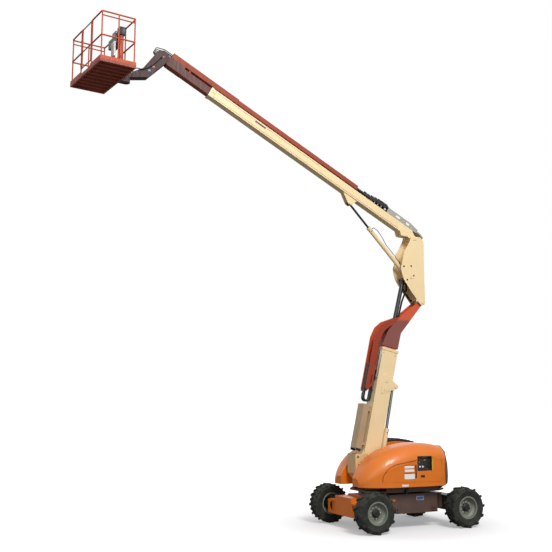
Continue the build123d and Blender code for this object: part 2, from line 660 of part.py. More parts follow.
LIFT_EYE_FRONT = -590
LIFT_EYE_ALONG = 1940
BRACKET_PLATE = 14
BRACKET = [(-225, 2180), (-560, 2010), (-648, 1960), (-652, 1925), (-620, 1890), (-225, 1685), (-170, 1970)]
bracket = both(plate(BRACKET, TOWER_HALF_WIDTH, TOWER_HALF_WIDTH + BRACKET_PLATE)
               + pin_y(LIFT_EYE_FRONT, LIFT_EYE_ALONG, PIN_RADIUS + 12, TOWER_HALF_WIDTH + BRACKET_PLATE - 1,
                       TOWER_HALF_WIDTH + BRACKET_PLATE + 14))
save("tower_base", TOWER * (base_tube + [rim_band, pivot_ears, top_pads, bracket]))

TROUGH = (40, 190, 300, 1350)  # rear, front, low and high in the tower's frame
trough_outer = block(TROUGH[0], TROUGH[1], -135, 135, TROUGH[2], TROUGH[3])
trough_inner = block(TROUGH[0] + 10, TROUGH[1] - 10, -125, 125, TROUGH[2] + 10, TROUGH[3] + 1)
trough_feet = [block(BASE_FRONT + SEAT_GAP, TROUGH[0] + 1, -100, 100, z, z + 60) for z in (400, 1200)]
save("hose_trough", TOWER * fused([trough_outer - trough_inner] + trough_feet))

# ---------------------------------------------------------------- cylinders


def cylinder(base, eye, length, bore, shaft, stop, insert, pin_half):
    """Barrel and rod between a base pin and a rod eye, each given as world x and z.

    length is the barrel's, to its gland. stop and insert are how far from the base pin the bore and the rod
    begin. pin_half is half the length of the pin that the rod's eye carries.
    """
    start = Vector(base[0], 0, base[1])
    end = Vector(eye[0], 0, eye[1])
    along = (end - start).normalized()
    reach = (end - start).length
    head = bore * 0.9

    def at(distance):
        point = start + along * distance
        return (point.X, point.Y, point.Z)

    barrel = rod(at(head * 0.6), at(length), bore) + rod(at(length - 40), at(length + 30), bore + 6)
    barrel = barrel + pin_y(base[0], base[1], head, -bore - EYE_STEP, bore + EYE_STEP)
    barrel = barrel - rod(at(stop), at(length - 20), shaft + 6)
    barrel = barrel - rod(at(length - 21), at(length + 31), shaft + PIN_GAP)
    barrel = barrel - pin_y(base[0], base[1], PIN_RADIUS + PIN_GAP, -2 * bore, 2 * bore)
    ram = rod(at(insert), at(reach), shaft) + pin_y(eye[0], eye[1], PIN_RADIUS + 14, -bore, bore)
    ram = ram + pin_y(eye[0], eye[1], PIN_RADIUS, -pin_half, pin_half)
    return barrel, ram


LIFT_EYE = on_tower(LIFT_EYE_FRONT, LIFT_EYE_ALONG)
lift_barrel, lift_rod = cylinder((LIFT_BASE_X, LIFT_BASE_Z), LIFT_EYE, 1280, LIFT_BORE, 36, 110, 1100,
                                 TOWER_HALF_WIDTH - SEAT_GAP)
save("tower_lift_barrel", lift_barrel)
save("tower_lift_rod", lift_rod)

# ---------------------------------------------------------------- tower fly section and head

fly_tube = tower_box(FLY_FRONT, FLY_REAR, TOWER_FLY_HALF_WIDTH, TOWER_FLY_FOOT, TOWER_TOP + 120)
fly_tube = fly_tube - tower_box(FLY_FRONT - TOWER_WALL, FLY_REAR + TOWER_WALL, TOWER_FLY_HALF_WIDTH
                                - TOWER_WALL,
                                TOWER_FLY_FOOT - 1, TOWER_TOP + 121)
tail_pads = slide_pads((FLY_REAR + 1, FLY_FRONT - 1, TOWER_FLY_HALF_WIDTH - 1),
                       (BASE_INSIDE[0] + SEAT_GAP, BASE_INSIDE[1] - SEAT_GAP, BASE_INSIDE[2] - SEAT_GAP),
                       TOWER_FLY_FOOT)
save("tower_fly", TOWER * (fly_tube + tail_pads))

HEAD_FOOT = TOWER_TOP + 40
HEAD = [(-11, HEAD_FOOT), (-117, 3240), (-393, 3660), (-818, 4160), (-850, 4215), (-908, 4240),
        (-962, 4210), (-975, 4150), (-928, 4090), (-480, 3250), (-470, HEAD_FOOT)]
HEAD_INNER = HEAD_HALF_WIDTH - HEAD_PLATE
head = plate_pair(HEAD, HEAD_HALF_WIDTH, HEAD_PLATE)
head_rear = plate([(-470, HEAD_FOOT), (-480, 3250), (-860, 3962), (-846, 3970), (-466, 3262),
                   (-456, HEAD_FOOT)],
                  -HEAD_INNER - 1, HEAD_INNER + 1)
collar = block(FLY_REAR - 20, FLY_FRONT + 20, -HEAD_HALF_WIDTH + 1, HEAD_HALF_WIDTH - 1, HEAD_FOOT, HEAD_FOOT
               + 80)
collar = collar - block(FLY_REAR - SEAT_GAP, FLY_FRONT + SEAT_GAP, -TOWER_FLY_HALF_WIDTH - SEAT_GAP,
                        TOWER_FLY_HALF_WIDTH + SEAT_GAP, HEAD_FOOT - 1, HEAD_FOOT + 81)
head = head + [head_rear, collar]
head = head - pin_y(UPRIGHT_PIN_FRONT, UPRIGHT_PIN_ALONG, HEAVY_PIN_RADIUS + PIN_GAP, -300, 300)
save("tower_head", TOWER * head)

GUARD_HALF_WIDTH = HEAD_INNER - SEAT_GAP
GUARD_PLATE = 6
GUARD_REAR = 45
GUARD_FRONT = 212
GUARD_LOW = 1830
GUARD_TOP = 3000
GUARD_SIDE = [(GUARD_REAR, GUARD_LOW), (190, 1640), (GUARD_FRONT, 1720), (GUARD_FRONT, 2985), (145, 3240),
              (0, 3420), (-390, 3660),
              (-533, 3725), (-556, 3535), (-420, 3530), (-130, 3330), (-10, 3180), (GUARD_REAR, GUARD_TOP)]
guard = plate_pair(GUARD_SIDE, GUARD_HALF_WIDTH, GUARD_PLATE)
guard_floor = block(GUARD_REAR, GUARD_REAR + GUARD_PLATE, GUARD_PLATE - GUARD_HALF_WIDTH - 1,
                    GUARD_HALF_WIDTH - GUARD_PLATE + 1,
                    GUARD_LOW + 20, GUARD_TOP)
lips = both(block(GUARD_FRONT - GUARD_PLATE, GUARD_FRONT, 85, GUARD_HALF_WIDTH, 1720, 2985))
save("hose_guard", TOWER * (guard + [guard_floor, lips]))

LINK_PITCH = 106
LINK_GAP = 14
LINK_DEPTH = 7
BEND_FLATS = 8


def chain(start, low, run_end, upper, thick, half_width, shown):
    """An energy chain seen from the side, along X: a straight run, a round bend at start and an upper run.

    low is the outer face of the straight run, which ends at run_end. upper lists the outer face of the upper
    run from the bend onwards. The gaps between the links are cut as far as shown.
    """
    high = upper[0][1]
    middle = (low + high) / 2
    y = -half_width

    def bend(radius):
        turns = [math.pi * (index / BEND_FLATS - 0.5) for index in range(BEND_FLATS + 1)]
        return Polyline(*[(start - radius * math.cos(turn), y, middle
                           + radius * math.sin(turn)) for turn in turns])

    over = [(x, y, z) for x, z in upper]
    under = [(x, y, z - thick) for x, z in reversed(upper)]
    band = (bend((high - low) / 2) + bend((high - low) / 2 - thick) + Polyline(*over)
            + Line(over[-1], under[0])
            + Polyline(*under) + Line((start, y, low), (run_end, y, low))
            + Line((run_end, y, low), (run_end, y, low + thick))
            + Line((run_end, y, low + thick), (start, y, low + thick)))
    links = extrude(make_face(band), amount=2 * half_width, dir=(0, 1, 0))
    gaps = []
    for index in range(int((shown - start) / LINK_PITCH)):
        x = start + index * LINK_PITCH
        gaps.append(both(block(x, x + LINK_GAP, half_width - LINK_DEPTH, half_width + 1, low - 1, high + 1)))
        if x + LINK_GAP < upper[1][0]:
            gaps.append(block(x, x + LINK_GAP, -half_width - 1, half_width + 1, high - LINK_DEPTH, high + 1))
    return links - gaps


TOWER_CHAIN_START = 1520
TOWER_CHAIN_LOW = BASE_FRONT + 28
TOWER_CHAIN_HIGH = TOWER_CHAIN_LOW + 214
TOWER_CHAIN_THICK = 44
TOWER_CHAIN_END = 2370
tower_chain = chain(TOWER_CHAIN_START, TOWER_CHAIN_LOW, 2220, [(TOWER_CHAIN_START, TOWER_CHAIN_HIGH),
                    (TOWER_CHAIN_END, TOWER_CHAIN_HIGH)], TOWER_CHAIN_THICK, 50, TOWER_CHAIN_END)
chain_shoe = block(BASE_FRONT + SEAT_GAP, TOWER_CHAIN_LOW + 1, -30, 30, 1700, 1740)
save("tower_track", TOWER * (mirror(Rot(0, -90, 0) * tower_chain, Plane.YZ) + chain_shoe))

LEVEL_BASE = on_tower(-274, 2220)
LEVEL_EYE = (-360, 5910)
LEVEL_BORE = 52
UPRIGHT_INNER = UPRIGHT_HALF_WIDTH - UPRIGHT_PLATE
level_barrel, level_rod = cylinder(LEVEL_EYE, LEVEL_BASE, 1400, LEVEL_BORE, 28, 60, 1150,
                                   TOWER_FLY_HALF_WIDTH - TOWER_WALL - SEAT_GAP)
BUNDLE_RADIUS = 17
BUNDLE_Y = 155
LEVEL_PIN_HALF = BUNDLE_Y - BUNDLE_RADIUS - 2 * SIDE_GAP  # passes between the hose bundles as it drifts
level_pin = pin_y(LEVEL_EYE[0], LEVEL_EYE[1], PIN_RADIUS + 8, -LEVEL_PIN_HALF, LEVEL_PIN_HALF)
save("level_barrel", level_barrel + level_pin)
save("level_rod", level_rod)


def beside(base, eye, along, off, y):
    """A point beside the line from base to eye, off to its left as seen from +Y to -Y."""
    axis = (Vector(eye[0], 0, eye[1]) - Vector(base[0], 0, base[1])).normalized()
    return (base[0] + axis.X * along - axis.Z * off, y, base[1] + axis.Z * along + axis.X * off)


LEVEL_HOSE_RADIUS = 12
LEVEL_HOSE_Y = 22
LEVEL_HOSES = [  # distance down from the upright's pin, distance in front of the cylinder's axis
    (80, LEVEL_BORE - 0.6), (80, 125), (210, 160), (360, 128), (560, 96), (1310, 84),
               (1310, LEVEL_BORE - 0.6),
]
level_hoses = [pipe([beside(LEVEL_EYE, LEVEL_BASE, along, -off, side * LEVEL_HOSE_Y) for along,
                     off in LEVEL_HOSES], 15,
                    LEVEL_HOSE_RADIUS) for side in (1, -1)]
save("level_hoses", fused(level_hoses))

# ---------------------------------------------------------------- upright

UPRIGHT = [
    (-880, 5330), (-880, 6870), (-850, 6935), (-790, 6990), (-520, 7000), (-450, 6830), (-290, 6580),
           (-230, 6330),
    (-190, 6190), (-210, 6060), (-270, 5890), (-450, 5640), (-730, 5300), (-800, 5265), (-860, 5280),
]
upright = plate_pair(UPRIGHT, UPRIGHT_HALF_WIDTH, UPRIGHT_PLATE)
BOOM_LIFT_BASE = (-500, 5980)
UPRIGHT_PIN = on_tower(UPRIGHT_PIN_FRONT, UPRIGHT_PIN_ALONG)
UPRIGHT_BARS = [  # x, z, radius of the pins between the two plates
    (UPRIGHT_PIN[0], UPRIGHT_PIN[1], HEAVY_PIN_RADIUS), (BOOM_PIN_X, BOOM_PIN_Z, HEAVY_PIN_RADIUS),
    (BOOM_LIFT_BASE[0], BOOM_LIFT_BASE[1], PIN_RADIUS),
]
bars = [pin_y(x, z, r, -UPRIGHT_HALF_WIDTH - 10, UPRIGHT_HALF_WIDTH + 10) for x, z, r in UPRIGHT_BARS]
upright_rear = block(-880, -866, -UPRIGHT_INNER - 1, UPRIGHT_INNER + 1, 5470, 6680)
save("upright", fused([upright, upright_rear] + bars))

CLIP = 24
BUNDLE_ROUTE = [(-390, 5862), (-395, 5790), (-540, 5590), (-655, 5440), (-720, 5405)]
UPRIGHT_CLIPS = [(-395, 5835), (-695, 5417)]
bundle = [pipe([(x, BUNDLE_Y, z) for x, z in BUNDLE_ROUTE], 30, BUNDLE_RADIUS)]
bundle += [block(x - CLIP, x + CLIP, BUNDLE_Y, UPRIGHT_INNER - SEAT_GAP, z - CLIP, z + CLIP) for x,
           z in UPRIGHT_CLIPS]
save("upright_hoses", both(fused(bundle)))

# ---------------------------------------------------------------- main lift cylinder

BOOM_EYE_ALONG = 1930
BOOM_EYE_UP = -170
BOOM_EYE = on_boom(BOOM_EYE_ALONG, BOOM_EYE_UP)
EYE_PLATE = 14
EYE_INNER = 62
BOOM_LIFT_BORE = 50
boom_barrel, boom_rod = cylinder(BOOM_LIFT_BASE, BOOM_EYE, 1600, BOOM_LIFT_BORE, 27, 90, 980,
                                  EYE_INNER - SEAT_GAP)
save("boom_lift_barrel", boom_barrel)
save("boom_lift_rod", boom_rod)

LIFT_HOSE_RADIUS = 8
LIFT_HOSE = [  # distance from the base pin, distance behind the cylinder's axis
    (1530, BOOM_LIFT_BORE + SEAT_GAP), (1530, 120), (1400, 160), (1180, 140), (1000, 96), (400, 96),
    (400, BOOM_LIFT_BORE + SEAT_GAP),
]
save("lift_hoses", pipe([beside(BOOM_LIFT_BASE, BOOM_EYE, along, off, 0) for along, off in LIFT_HOSE], 30,
                        LIFT_HOSE_RADIUS))

# ---------------------------------------------------------------- main boom base section

base_section = box_tube(BOOM_FOOT, BOOM_TIP, BOOM_HALF_WIDTH, BOOM_LOW, BOOM_HIGH, BOOM_WALL)
tip_band = box_tube(BOOM_TIP - 60, BOOM_TIP, BOOM_HALF_WIDTH + 8, BOOM_LOW - 8, BOOM_HIGH + 8, 8 + 1)
pad_outer = block(BOOM_TIP - PAD_LENGTH - 20, BOOM_TIP - 20, BOOM_WALL - 1 - BOOM_HALF_WIDTH, BOOM_HALF_WIDTH
                  - BOOM_WALL + 1,
                  BOOM_LOW + BOOM_WALL - 1, BOOM_HIGH - BOOM_WALL + 1)
pad_inner = block(BOOM_TIP - PAD_LENGTH - 21, BOOM_TIP - 19, -FLY_HALF_WIDTH - SEAT_GAP, FLY_HALF_WIDTH
                  + SEAT_GAP,
                  FLY_LOW - SEAT_GAP, FLY_HIGH + SEAT_GAP)

BOOM_EARS = [(-45, -45), (40, -62), (160, -40), (340, -120), (430, BOOM_LOW - 4), (430, BOOM_HIGH - 20),
             (120, BOOM_HIGH - 10),
             (-20, 62), (-60, 20)]
boom_ears = both(plate(BOOM_EARS, BOOM_HALF_WIDTH + SEAT_GAP, BOOM_HALF_WIDTH + 22))
boom_ears = boom_ears - pin_y(0, 0, HEAVY_PIN_RADIUS + PIN_GAP, -300, 300)
boss = pin_y(0, 0, 60, BOOM_HALF_WIDTH + 21, UPRIGHT_INNER - SIDE_GAP) - pin_y(0, 0, HEAVY_PIN_RADIUS
                                                                               + PIN_GAP, 0, 300)

EYE_BRACKET = [(1800, BOOM_LOW - SEAT_GAP), (2230, BOOM_LOW - SEAT_GAP), (2160, -90), (1980, -218),
               (1890, -218), (1850, -160)]
eye_bracket = both(plate(EYE_BRACKET, EYE_INNER, EYE_INNER + EYE_PLATE)
                   + pin_y(BOOM_EYE_ALONG, BOOM_EYE_UP, PIN_RADIUS + 8, EYE_INNER + EYE_PLATE - 1, EYE_INNER
                           + EYE_PLATE + 12))
save("boom_base", BOOM * (base_section
                          + [tip_band, pad_outer - pad_inner, boom_ears, both(boss), eye_bracket]))

TRAY = [(-40, 275), (-10, BOOM_HIGH + 0.3), (960, BOOM_HIGH + 0.3), (960, 325), (235, 325)]
tray = both(plate(TRAY, BOOM_HALF_WIDTH - 4, BOOM_HALF_WIDTH))
tray_floor = block(200, 960, -BOOM_HALF_WIDTH + 3, BOOM_HALF_WIDTH - 3, BOOM_HIGH + 0.3, BOOM_HIGH + 3)
TAIL_GUARD = [(300, BOOM_HIGH + 1), (300, 200), (200, 222), (20, 244), (-150, 238), (-270, 184), (-256, 160),
              (-140, 200),
              (20, 208), (150, BOOM_HIGH + 1)]
tail_guard = plate(TAIL_GUARD, 3 - BOOM_HALF_WIDTH, BOOM_HALF_WIDTH - 3)
save("hose_tray", BOOM * (tray + [tray_floor, tail_guard]))

# ---------------------------------------------------------------- main boom fly section

fly_section = box_tube(FLY_FOOT, FLY_TIP, FLY_HALF_WIDTH, FLY_LOW, FLY_HIGH, FLY_WALL)
tail_outer = block(FLY_FOOT, FLY_FOOT + PAD_LENGTH, BOOM_WALL - BOOM_HALF_WIDTH + SEAT_GAP, BOOM_HALF_WIDTH
                   - BOOM_WALL - SEAT_GAP,
                   BOOM_LOW + BOOM_WALL + SEAT_GAP, BOOM_HIGH - BOOM_WALL - SEAT_GAP)
tail_inner = block(FLY_FOOT - 1, FLY_FOOT + PAD_LENGTH + 1, 1 - FLY_HALF_WIDTH, FLY_HALF_WIDTH - 1, FLY_LOW
                   + 1, FLY_HIGH - 1)
tip_plate = block(FLY_TIP - 8, FLY_TIP, 1 - FLY_HALF_WIDTH, FLY_HALF_WIDTH - 1, FLY_LOW + 1, FLY_HIGH - 1)
save("boom_fly", BOOM * (fly_section + [tail_outer - tail_inner, tip_plate]))

NOSE = [(7000, FLY_LOW), (7400, FLY_LOW), (7440, 40), (7560, 100), (7565, 160), (7510, 190), (7300, 215),
        (7000, 215)]
nose = both(plate(NOSE, FLY_HALF_WIDTH + SEAT_GAP, FLY_HALF_WIDTH + 8))
nose = nose - pin_y(LEVEL_PIN_ALONG, LEVEL_PIN_UP, PIN_RADIUS + PIN_GAP, -300, 300)
save("boom_nose", BOOM * nose)

CARRIER_LOW = 236
CARRIER_HIGH = 336
CARRIER_HALF_WIDTH = 62
CARRIER_FRONT = 7380
carrier = box_tube(1930, CARRIER_FRONT, CARRIER_HALF_WIDTH, CARRIER_LOW, CARRIER_HIGH, 4)
carrier_big = box_tube(5560, CARRIER_FRONT, CARRIER_HALF_WIDTH + 12, CARRIER_LOW - 12, CARRIER_HIGH + 10, 13)
carrier_end = block(CARRIER_FRONT - 8, CARRIER_FRONT, -CARRIER_HALF_WIDTH, CARRIER_HALF_WIDTH, CARRIER_LOW,
                    CARRIER_HIGH)
carrier_feet = [block(x, x + 50, -60, 60, FLY_HIGH + SEAT_GAP, CARRIER_LOW - 11) for x in (6840, 7290)]
save("hose_carrier", BOOM * fused([carrier, carrier_big, carrier_end] + carrier_feet))

NOSE_HOSE_RADIUS = 10
NOSE_HOSES = [(26, 300, 0), (-4, 270, 26), (-34, 300,
                                            52)]  # y, height at the carrier and how far the loop is drawn in
nose_hoses = []
for y, height, inward in NOSE_HOSES:
    route = [(CARRIER_FRONT + SEAT_GAP, y, height), (7590, y, height), (7775 - inward, y, 225 - inward),
             (7780 - inward, y, 60 + inward / 2), (7640, y, 30 + inward / 2),
             (FLY_TIP + 1, y, 30 + inward / 2)]
    nose_hoses.append(pipe(route, 45, NOSE_HOSE_RADIUS))
save("nose_hoses", BOOM * fused(nose_hoses))

BOOM_CHAIN_START = 1000
BOOM_CHAIN_THICK = 40
BOOM_CHAIN_LOW = BOOM_HIGH + 5
CARRIED = CARRIER_LOW + 62
BOOM_RUN_END = 3000
boom_chain = chain(BOOM_CHAIN_START, BOOM_CHAIN_LOW, BOOM_RUN_END,
                   [(BOOM_CHAIN_START, 378), (1250, 378), (1560, CARRIED),
                   (4100, CARRIED)], BOOM_CHAIN_THICK, 46, 1960)
run_shoe = block(BOOM_RUN_END - 100, BOOM_RUN_END - 40, -30, 30, BOOM_HIGH + SEAT_GAP, BOOM_CHAIN_LOW + 1)
save("boom_track", BOOM * (boom_chain + run_shoe))

# ---------------------------------------------------------------- platform support and rotator

ARM_HALF_WIDTH = 108
ARM_PLATE = 10
ARM = [(5870, 10640), (5880, 10500), (6340, 10045), (6700, 9985), (6700, 10110), (6460, 10240), (6130, 10690),
       (6050, 10725),
       (5950, 10720)]
arm = plate_pair(ARM, ARM_HALF_WIDTH, ARM_PLATE)
arm_floor = plate([(6200, 10183), (6340, 10045), (6700, 9985), (6700, 9997), (6346, 10057), (6212, 10191)],
                  ARM_PLATE - ARM_HALF_WIDTH - 1, ARM_HALF_WIDTH - ARM_PLATE + 1)
arm_roof = plate([(6700, 10110), (6460, 10240), (6290, 10470), (6281, 10462), (6450, 10230), (6700, 10098)],
                 ARM_PLATE - ARM_HALF_WIDTH - 1, ARM_HALF_WIDTH - ARM_PLATE + 1)
nose_pin_x, nose_pin_z = on_boom(LEVEL_PIN_ALONG, LEVEL_PIN_UP)
nose_pin = pin_y(nose_pin_x, nose_pin_z, PIN_RADIUS, -ARM_HALF_WIDTH - 5, ARM_HALF_WIDTH + 5)
ROTATOR_LOW = FLOOR_BOTTOM + 40
ROTATOR_HIGH = 10150
housing = post(ROTATOR_X, 0, ROTATOR_LOW, ROTATOR_HIGH, ROTATOR_RADIUS)
neck = block(6690, ROTATOR_X, -80, 80, 9990, 10100)
ARM_END = 6700
arm_cut = block(6000, ARM_END + SEAT_GAP, -200, 200, 9000, 11000)
rotator_housing = housing + (neck - post(ROTATOR_X, 0, 0, 20000, ROTATOR_RADIUS - 20)) - arm_cut
save("platform_support", arm + [arm_floor, arm_roof, nose_pin, rotator_housing])

ARM_HOSE_RADIUS = 11
ARM_HOSE_Y = ARM_HALF_WIDTH + ARM_HOSE_RADIUS + 3
ARM_HOSE = [(6035, ARM_HOSE_Y, 10560), (6223, ARM_HOSE_Y, 10354), (6353, ARM_HOSE_Y, 10252),
            (6480, ARM_HOSE_Y, 10192),
            (6600, ARM_HOSE_Y, 10205), (ARM_END - 20, 60, 10205), (ARM_END - 20, 60, 10127.5)]
hose_clip = block(6028, 6068, ARM_HALF_WIDTH + SEAT_GAP, ARM_HOSE_Y, 10528, 10568)
low_clip = block(6390, 6420, ARM_HALF_WIDTH + SEAT_GAP, ARM_HOSE_Y, 10218, 10242)
save("support_hose", pipe(ARM_HOSE, 34, ARM_HOSE_RADIUS) + [hose_clip, low_clip])

# ---------------------------------------------------------------- platform

PLATFORM = Pos(ROTATOR_X, 0, 0) * Rot(0, 0, PLATFORM_SWING)
FLOOR_X0 = PLATFORM_OFFSET
FLOOR_X1 = PLATFORM_OFFSET + PLATFORM_LENGTH
FLOOR_Y = PLATFORM_WIDTH / 2
FLOOR_TOP = FLOOR_BOTTOM + FLOOR_DEPTH
SLAT = 50
floor_sheet = block(FLOOR_X0, FLOOR_X1, -FLOOR_Y, FLOOR_Y, FLOOR_TOP - 6, FLOOR_TOP)
frame_edge = block(FLOOR_X0, FLOOR_X1, -FLOOR_Y, FLOOR_Y, FLOOR_BOTTOM, FLOOR_TOP) - block(
    FLOOR_X0 + 40, FLOOR_X1 - 40, 40 - FLOOR_Y, FLOOR_Y - 40, FLOOR_BOTTOM - 1, FLOOR_TOP + 1)
slat_count = 8
slat_pitch = (PLATFORM_WIDTH - 80) / (slat_count + 1)
slats = [block(FLOOR_X0 + 39, FLOOR_X1 - 39, y - SLAT / 2, y + SLAT / 2, FLOOR_BOTTOM + 15, FLOOR_TOP - 5)
         for y in [-FLOOR_Y + 40 + slat_pitch * (index + 1) for index in range(slat_count)]]
save("platform_floor", PLATFORM * fused([frame_edge, floor_sheet] + slats))

TOE_PLATE = 4
toe = block(FLOOR_X0, FLOOR_X1, -FLOOR_Y, FLOOR_Y, FLOOR_TOP + SEAT_GAP, FLOOR_BOTTOM + TOE_HEIGHT)
toe = toe - block(FLOOR_X0 + TOE_PLATE, FLOOR_X1 - TOE_PLATE, TOE_PLATE - FLOOR_Y, FLOOR_Y - TOE_PLATE,
                  FLOOR_TOP - 1,
                  FLOOR_BOTTOM + TOE_HEIGHT + 1)
GATE_LOW_Y = -250
GATE_HIGH_Y = 310
toe = toe - block(FLOOR_X1 - 20, FLOOR_X1 + 1, GATE_LOW_Y, GATE_HIGH_Y, FLOOR_TOP + 20, FLOOR_TOP + 400)
save("toe_board", PLATFORM * toe)

RAIL_X0 = FLOOR_X0 + TOE_PLATE + RAIL_RADIUS + SEAT_GAP
RAIL_X1 = FLOOR_X1 - TOE_PLATE - RAIL_RADIUS - SEAT_GAP
RAIL_Y = FLOOR_Y - TOE_PLATE - RAIL_RADIUS - SEAT_GAP
TOP_Z = FLOOR_BOTTOM + RAIL_HEIGHT
MID_Z = FLOOR_BOTTOM + MID_RAIL_HEIGHT
CORNER = RAIL_BEND * 0.29
SECOND_DROP = 90
POSTS = [  # x, y of the posts
    (RAIL_X1, GATE_HIGH_Y + 30), (RAIL_X1, GATE_LOW_Y - 30), (RAIL_X1 - CORNER, RAIL_Y - CORNER),
    (RAIL_X1 - CORNER, CORNER - RAIL_Y), (RAIL_X0 + CORNER, RAIL_Y - CORNER),
         (RAIL_X0 + CORNER, CORNER - RAIL_Y),
    (RAIL_X0, 330), (RAIL_X0, -330), ((RAIL_X0 + RAIL_X1) / 2, RAIL_Y), ((RAIL_X0 + RAIL_X1) / 2, -RAIL_Y),
]
posts = [post(x, y, FLOOR_TOP + SEAT_GAP, TOP_Z, POST_RADIUS) for x, y in POSTS]
hoops = []
for z in (TOP_Z, MID_Z):
    corners = [(RAIL_X1, GATE_HIGH_Y + 30, z), (RAIL_X1, RAIL_Y, z), (RAIL_X0, RAIL_Y, z),
               (RAIL_X0, -RAIL_Y, z),
               (RAIL_X1, -RAIL_Y, z), (RAIL_X1, GATE_LOW_Y - 30, z)]
    hoops.append(pipe(corners, RAIL_BEND, RAIL_RADIUS))
for side in (1, -1):
    hoops.append(rod((RAIL_X0 + CORNER, side * RAIL_Y, TOP_Z - SECOND_DROP),
                     (RAIL_X1 - CORNER, side * RAIL_Y, TOP_Z - SECOND_DROP),
                     POST_RADIUS - 1))
save("guard_rails", PLATFORM * fused(posts + hoops))

gate_y0 = GATE_LOW_Y + 5
gate_y1 = GATE_HIGH_Y - 5
gate_posts = [post(RAIL_X1, y, FLOOR_TOP + 140, TOP_Z + 10, POST_RADIUS) for y in (gate_y0 + POST_RADIUS,
                                                                                   gate_y1 - POST_RADIUS)]
gate_bars = [rod((RAIL_X1, gate_y0 + POST_RADIUS, z), (RAIL_X1, gate_y1 - POST_RADIUS, z), POST_RADIUS - 2)
             for z in (FLOOR_TOP + 160, MID_Z, TOP_Z - 10)]
HINGE_HEIGHTS = (FLOOR_TOP + 220, MID_Z + 260)
HINGE_HALF = 22
HINGE_Y = GATE_LOW_Y - 30
gate_hinges = [post(RAIL_X1, HINGE_Y, z - HINGE_HALF, z + HINGE_HALF, POST_RADIUS + 7)
               + block(RAIL_X1 - 7, RAIL_X1 + 7, HINGE_Y + POST_RADIUS, gate_y0 + POST_RADIUS, z - HINGE_HALF,
                       z + HINGE_HALF)
               - post(RAIL_X1, HINGE_Y, z - HINGE_HALF - 1, z + HINGE_HALF + 1, POST_RADIUS
                      + SEAT_GAP) for z in HINGE_HEIGHTS]
save("platform_gate", PLATFORM * fused(gate_posts + gate_bars + gate_hinges))

MAST_X = RAIL_X0 + RAIL_RADIUS + SEAT_GAP
CONSOLE_HALF_WIDTH = 232
CONSOLE_DEPTH = 150
CONSOLE_LOW = TOP_Z - 330
console = block(MAST_X, MAST_X + CONSOLE_DEPTH, -CONSOLE_HALF_WIDTH, CONSOLE_HALF_WIDTH, CONSOLE_LOW, TOP_Z
                - 130)
mast = both(block(MAST_X, MAST_X + 50, CONSOLE_HALF_WIDTH - 50, CONSOLE_HALF_WIDTH, FLOOR_TOP + SEAT_GAP,
                  CONSOLE_LOW + 1))
save("platform_console", PLATFORM * (console + mast))

swing_plate_low = post(0, 0, FLOOR_BOTTOM + 5, ROTATOR_LOW - SEAT_GAP, ROTATOR_RADIUS)
swing_plate_low = swing_plate_low + block(0, FLOOR_X0 - SEAT_GAP, -ROTATOR_RADIUS, ROTATOR_RADIUS,
                                          FLOOR_BOTTOM + 5,
                             ROTATOR_LOW - SEAT_GAP)
swing_plate_high = post(0, 0, ROTATOR_HIGH + SEAT_GAP, ROTATOR_HIGH + 25, ROTATOR_RADIUS)
swing_plate_high = swing_plate_high + block(0, FLOOR_X0 - SEAT_GAP, -ROTATOR_RADIUS, ROTATOR_RADIUS,
                                            ROTATOR_HIGH + SEAT_GAP,
                                            ROTATOR_HIGH + 25)
swing_back = block(FLOOR_X0 - 14, FLOOR_X0 - SEAT_GAP, -ROTATOR_RADIUS, ROTATOR_RADIUS, FLOOR_BOTTOM + 5,
                   ROTATOR_HIGH + 25)
save("platform_bracket", PLATFORM * (swing_plate_low + swing_plate_high + swing_back))
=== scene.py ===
# %% [markdown]
# # An articulating boom lift
# The machine stands on four wheels, turns on a slewing ring and lifts a railed platform with a leaning
# telescopic tower, an upright and a long main boom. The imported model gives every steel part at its
# real size. This file adds the finishes and the small pieces: bolts, seals, switches, stickers.

# %% Load the model
import math

import bmesh
import bpy
from mathutils import Matrix, Vector


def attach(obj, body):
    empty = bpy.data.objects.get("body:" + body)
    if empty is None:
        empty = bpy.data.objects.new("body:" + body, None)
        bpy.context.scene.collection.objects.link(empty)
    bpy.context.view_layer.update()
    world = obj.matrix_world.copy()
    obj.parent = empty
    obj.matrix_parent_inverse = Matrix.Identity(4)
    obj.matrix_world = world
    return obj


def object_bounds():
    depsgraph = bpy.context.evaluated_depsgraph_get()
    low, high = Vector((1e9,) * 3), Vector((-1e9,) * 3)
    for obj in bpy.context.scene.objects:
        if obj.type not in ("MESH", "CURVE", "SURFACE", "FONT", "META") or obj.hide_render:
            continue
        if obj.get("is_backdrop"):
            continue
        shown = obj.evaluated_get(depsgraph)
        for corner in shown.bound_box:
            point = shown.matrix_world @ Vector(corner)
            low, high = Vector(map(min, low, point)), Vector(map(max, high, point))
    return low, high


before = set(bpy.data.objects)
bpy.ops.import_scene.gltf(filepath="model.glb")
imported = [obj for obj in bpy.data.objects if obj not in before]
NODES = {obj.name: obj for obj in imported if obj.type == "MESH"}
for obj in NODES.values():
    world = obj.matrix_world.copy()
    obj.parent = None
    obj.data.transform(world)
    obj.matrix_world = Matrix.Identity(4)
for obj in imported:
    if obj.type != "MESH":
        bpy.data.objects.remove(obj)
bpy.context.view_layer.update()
bpy.ops.object.select_all(action="DESELECT")

# %% [markdown]
# ## Camera
# A long lens far from the machine keeps its uprights parallel. The camera sits low in front of the
# left side, because that view shows the chassis, the left hood and the underside of the boom.

# %% Camera
AZIMUTH = math.radians(25.223)
DISTANCE = 20.491
HEIGHT = 2.961
PITCH = math.radians(8.393)
SIDE_SHIFT = -2.847
LENS = 54.34

